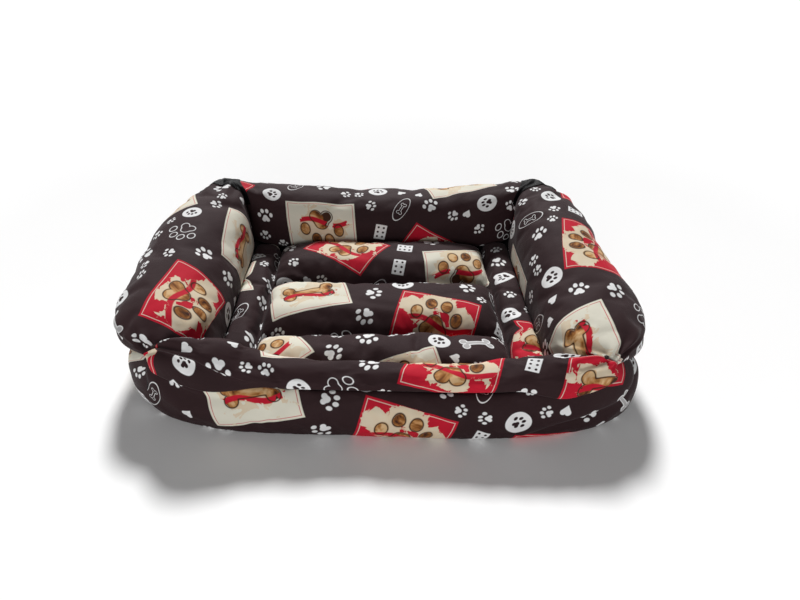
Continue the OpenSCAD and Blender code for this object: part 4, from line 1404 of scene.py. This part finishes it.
class BED_OT_bolsters(Operator):
    """Make the four bolsters round the nest"""

    bl_idname = "bed.make_bolsters"
    bl_label = "Make the bolsters"

    def execute(self, context):
        for side in (FRONT, RIGHT, REAR, LEFT):
            make_bolster(context, side)
        return {"FINISHED"}


class BED_OT_pad(Operator):
    """Make the quilted pad that lies in the nest"""

    bl_idname = "bed.make_pad"
    bl_label = "Make the pad"

    def execute(self, context):
        make_pad(context)
        return {"FINISHED"}


class BED_OT_corner_patches(Operator):
    """Make the black nylon patches over the two rear mitres, whose tips down the mitres on the nest side are
    painted shade
    """

    bl_idname = "bed.make_corner_patches"
    bl_label = "Make the corner patches"

    def execute(self, context):
        make_corner_patch(context, REAR, "corner_patch_rear_left")
        make_corner_patch(context, RIGHT, "corner_patch_rear_right")
        return {"FINISHED"}


class BED_OT_corner_tacks(Operator):
    """Make the knots of cord that draw the front corners together"""

    bl_idname = "bed.make_corner_tacks"
    bl_label = "Make the corner tacks"

    def execute(self, context):
        make_corner_tack(context, "corner_tack_front_left", TACKS[0], ("bolster_front", "bolster_left"))
        make_corner_tack(context, "corner_tack_front_right", TACKS[1], ("bolster_front", "bolster_right"))
        return {"FINISHED"}


class BED_OT_stage(Operator):
    """Set the pale floor, the soft lights and the camera"""

    bl_idname = "bed.set_stage"
    bl_label = "Set the stage"

    def execute(self, context):
        set_stage(context)
        return {"FINISHED"}


class BED_PT_pieces(Panel):
    """The sizes and colours of the bed, and its pieces in the order in which they are made"""

    bl_label = "Dog bed"
    bl_idname = "BED_PT_pieces"
    bl_space_type = "VIEW_3D"
    bl_region_type = "UI"
    bl_category = "Dog Bed"

    def draw(self, context):
        for group in (context.scene.bed_sizes, context.scene.bed_colours):
            box = self.layout.box()
            for name in type(group).__annotations__:
                box.prop(group, name)
        for piece in PIECES:
            self.layout.operator(piece.bl_idname)


PIECES = (
    BED_OT_base, BED_OT_pad, BED_OT_bolsters, BED_OT_corner_patches, BED_OT_corner_tacks, BED_OT_stage,
)
CLASSES = (BedSizes, BedColours, *PIECES, BED_PT_pieces)


def placed_light(name, lamp):
    """Puts the lamp into the scene under that name."""
    light = bpy.data.objects.new(name, lamp)
    bpy.context.scene.collection.objects.link(light)
    return light


def area_light(name, place, aim, size, power):
    lamp = bpy.data.lights.new(name, "AREA")
    lamp.shape, lamp.size, lamp.energy = "DISK", size, power
    light = placed_light(name, lamp)
    light.location = place
    light.rotation_euler = (Vector(aim) - Vector(place)).to_track_quat("-Z", "Y").to_euler()


def sun_light(name, towards, power, breadth):
    """A far light in that direction, as broad as that many degrees of the sky."""
    lamp = bpy.data.lights.new(name, "SUN")
    lamp.energy, lamp.angle = power, math.radians(breadth)
    placed_light(name, lamp).rotation_euler = Vector(towards).to_track_quat("Z", "Y").to_euler()


# The key comes from high behind the bed and is broad enough for a soft shadow, and the fill from low in front
KEY = {"towards": (-0.04, 0.84, 0.86), "power": 3.6, "breadth": 11}
FILL = {"place": (-0.3, -2.6, 0.6), "aim": (0, 0, 0.05), "size": 1.2, "power": 24}
# How bright the room is, and how much the floor is lifted for the camera, near the bed and further off where it
# runs out to white
ROOM_LIGHT = 0.10
FLOOR_GLOW, FAR_GLOW = 0.05, 0.25
FAR_FROM, FAR_TO = 0.8, 2.0
FLOOR_HALF = 6.0
# The camera: where it stands, how far it is turned up from straight down, the millimetres of its sensor and lens,
# how far its picture is shifted, and from where on it sees
CAMERA_PLACE, CAMERA_TURN = (0, -0.7332, 0.560), math.radians(54.7)
CAMERA = {"sensor_width": 36, "lens": 26.55, "shift_x": 0.02375, "clip_start": 0.01}


def set_stage(context):
    scene = context.scene
    scene.view_settings.view_transform = "Standard"
    floor_sheet = bmesh.new()
    bmesh.ops.create_grid(floor_sheet, x_segments=1, y_segments=1, size=FLOOR_HALF)
    # Matt white paint, a little uneven, that runs out to white further off
    floor_material, tree, shader = new_material("matt_white_paint", 0.9, {"Specular IOR Level": 0.1})
    place = add(tree, "ShaderNodeTexCoord").outputs["Object"]
    grain = add(tree, "ShaderNodeTexNoise", {"Vector": place, "Scale": 3.0}).outputs["Fac"]
    camera_ray = add(tree, "ShaderNodeLightPath").outputs["Is Camera Ray"]
    k = worked_out(tree, [
        ("paint", "OVER", "grain", linear("#fbfbfb"), linear("#f9f9f9")),
        ("away", "V_LENGTH", "place"),
    ], place=place, grain=grain)
    glow = add(tree, "ShaderNodeMapRange", (k["away"], FAR_FROM, FAR_TO, FLOOR_GLOW, FAR_GLOW))
    seen = add(tree, "ShaderNodeMath", (camera_ray, glow), operation="MULTIPLY")
    tree.links.new(k["paint"], shader.inputs["Base Color"])
    shader.inputs["Emission Color"].default_value = (1, 1, 1, 1)
    tree.links.new(seen.outputs[0], shader.inputs["Emission Strength"])
    floor = finished("floor", floor_sheet, [floor_material], outward=False)

    # The room is white to look at, and lights the bed only a little
    world = bpy.data.worlds.new("white_room")
    scene.world = world
    world.use_nodes = True
    tree = world.node_tree
    rays = add(tree, "ShaderNodeLightPath").outputs
    k = worked_out(tree, [
        ("direct", "MAXIMUM", "camera", "mirrored"),
        ("shown", "MAXIMUM", "direct", "through"),
    ], camera=rays["Is Camera Ray"], mirrored=rays["Is Glossy Ray"], through=rays["Is Transmission Ray"])
    strength = add(tree, "ShaderNodeMapRange", {0: k["shown"], 3: ROOM_LIGHT, 4: 1.0})
    background = tree.nodes["Background"]
    background.inputs["Color"].default_value = (1, 1, 1, 1)
    tree.links.new(strength.outputs[0], background.inputs["Strength"])

    sun_light("key", **KEY)
    area_light("fill", **FILL)

    camera = bpy.data.objects.new("camera", bpy.data.cameras.new("camera"))
    camera.location = CAMERA_PLACE
    camera.rotation_euler = (CAMERA_TURN, 0, 0)
    for key, value in CAMERA.items():
        setattr(camera.data, key, value)
    scene.collection.objects.link(camera)
    scene.camera = camera


def register():
    for cls in CLASSES:
        bpy.utils.register_class(cls)
    bpy.types.Scene.bed_sizes = PointerProperty(type=BedSizes)
    bpy.types.Scene.bed_colours = PointerProperty(type=BedColours)


def unregister():
    del bpy.types.Scene.bed_colours
    del bpy.types.Scene.bed_sizes
    for cls in reversed(CLASSES):
        bpy.utils.unregister_class(cls)


def main():
    register()
    bpy.ops.bed.make_base()
    bpy.ops.bed.make_pad()
    bpy.ops.bed.make_bolsters()
    bpy.ops.bed.make_corner_patches()
    bpy.ops.bed.make_corner_tacks()
    bpy.ops.bed.set_stage()


if __name__ == "__main__":
    main()
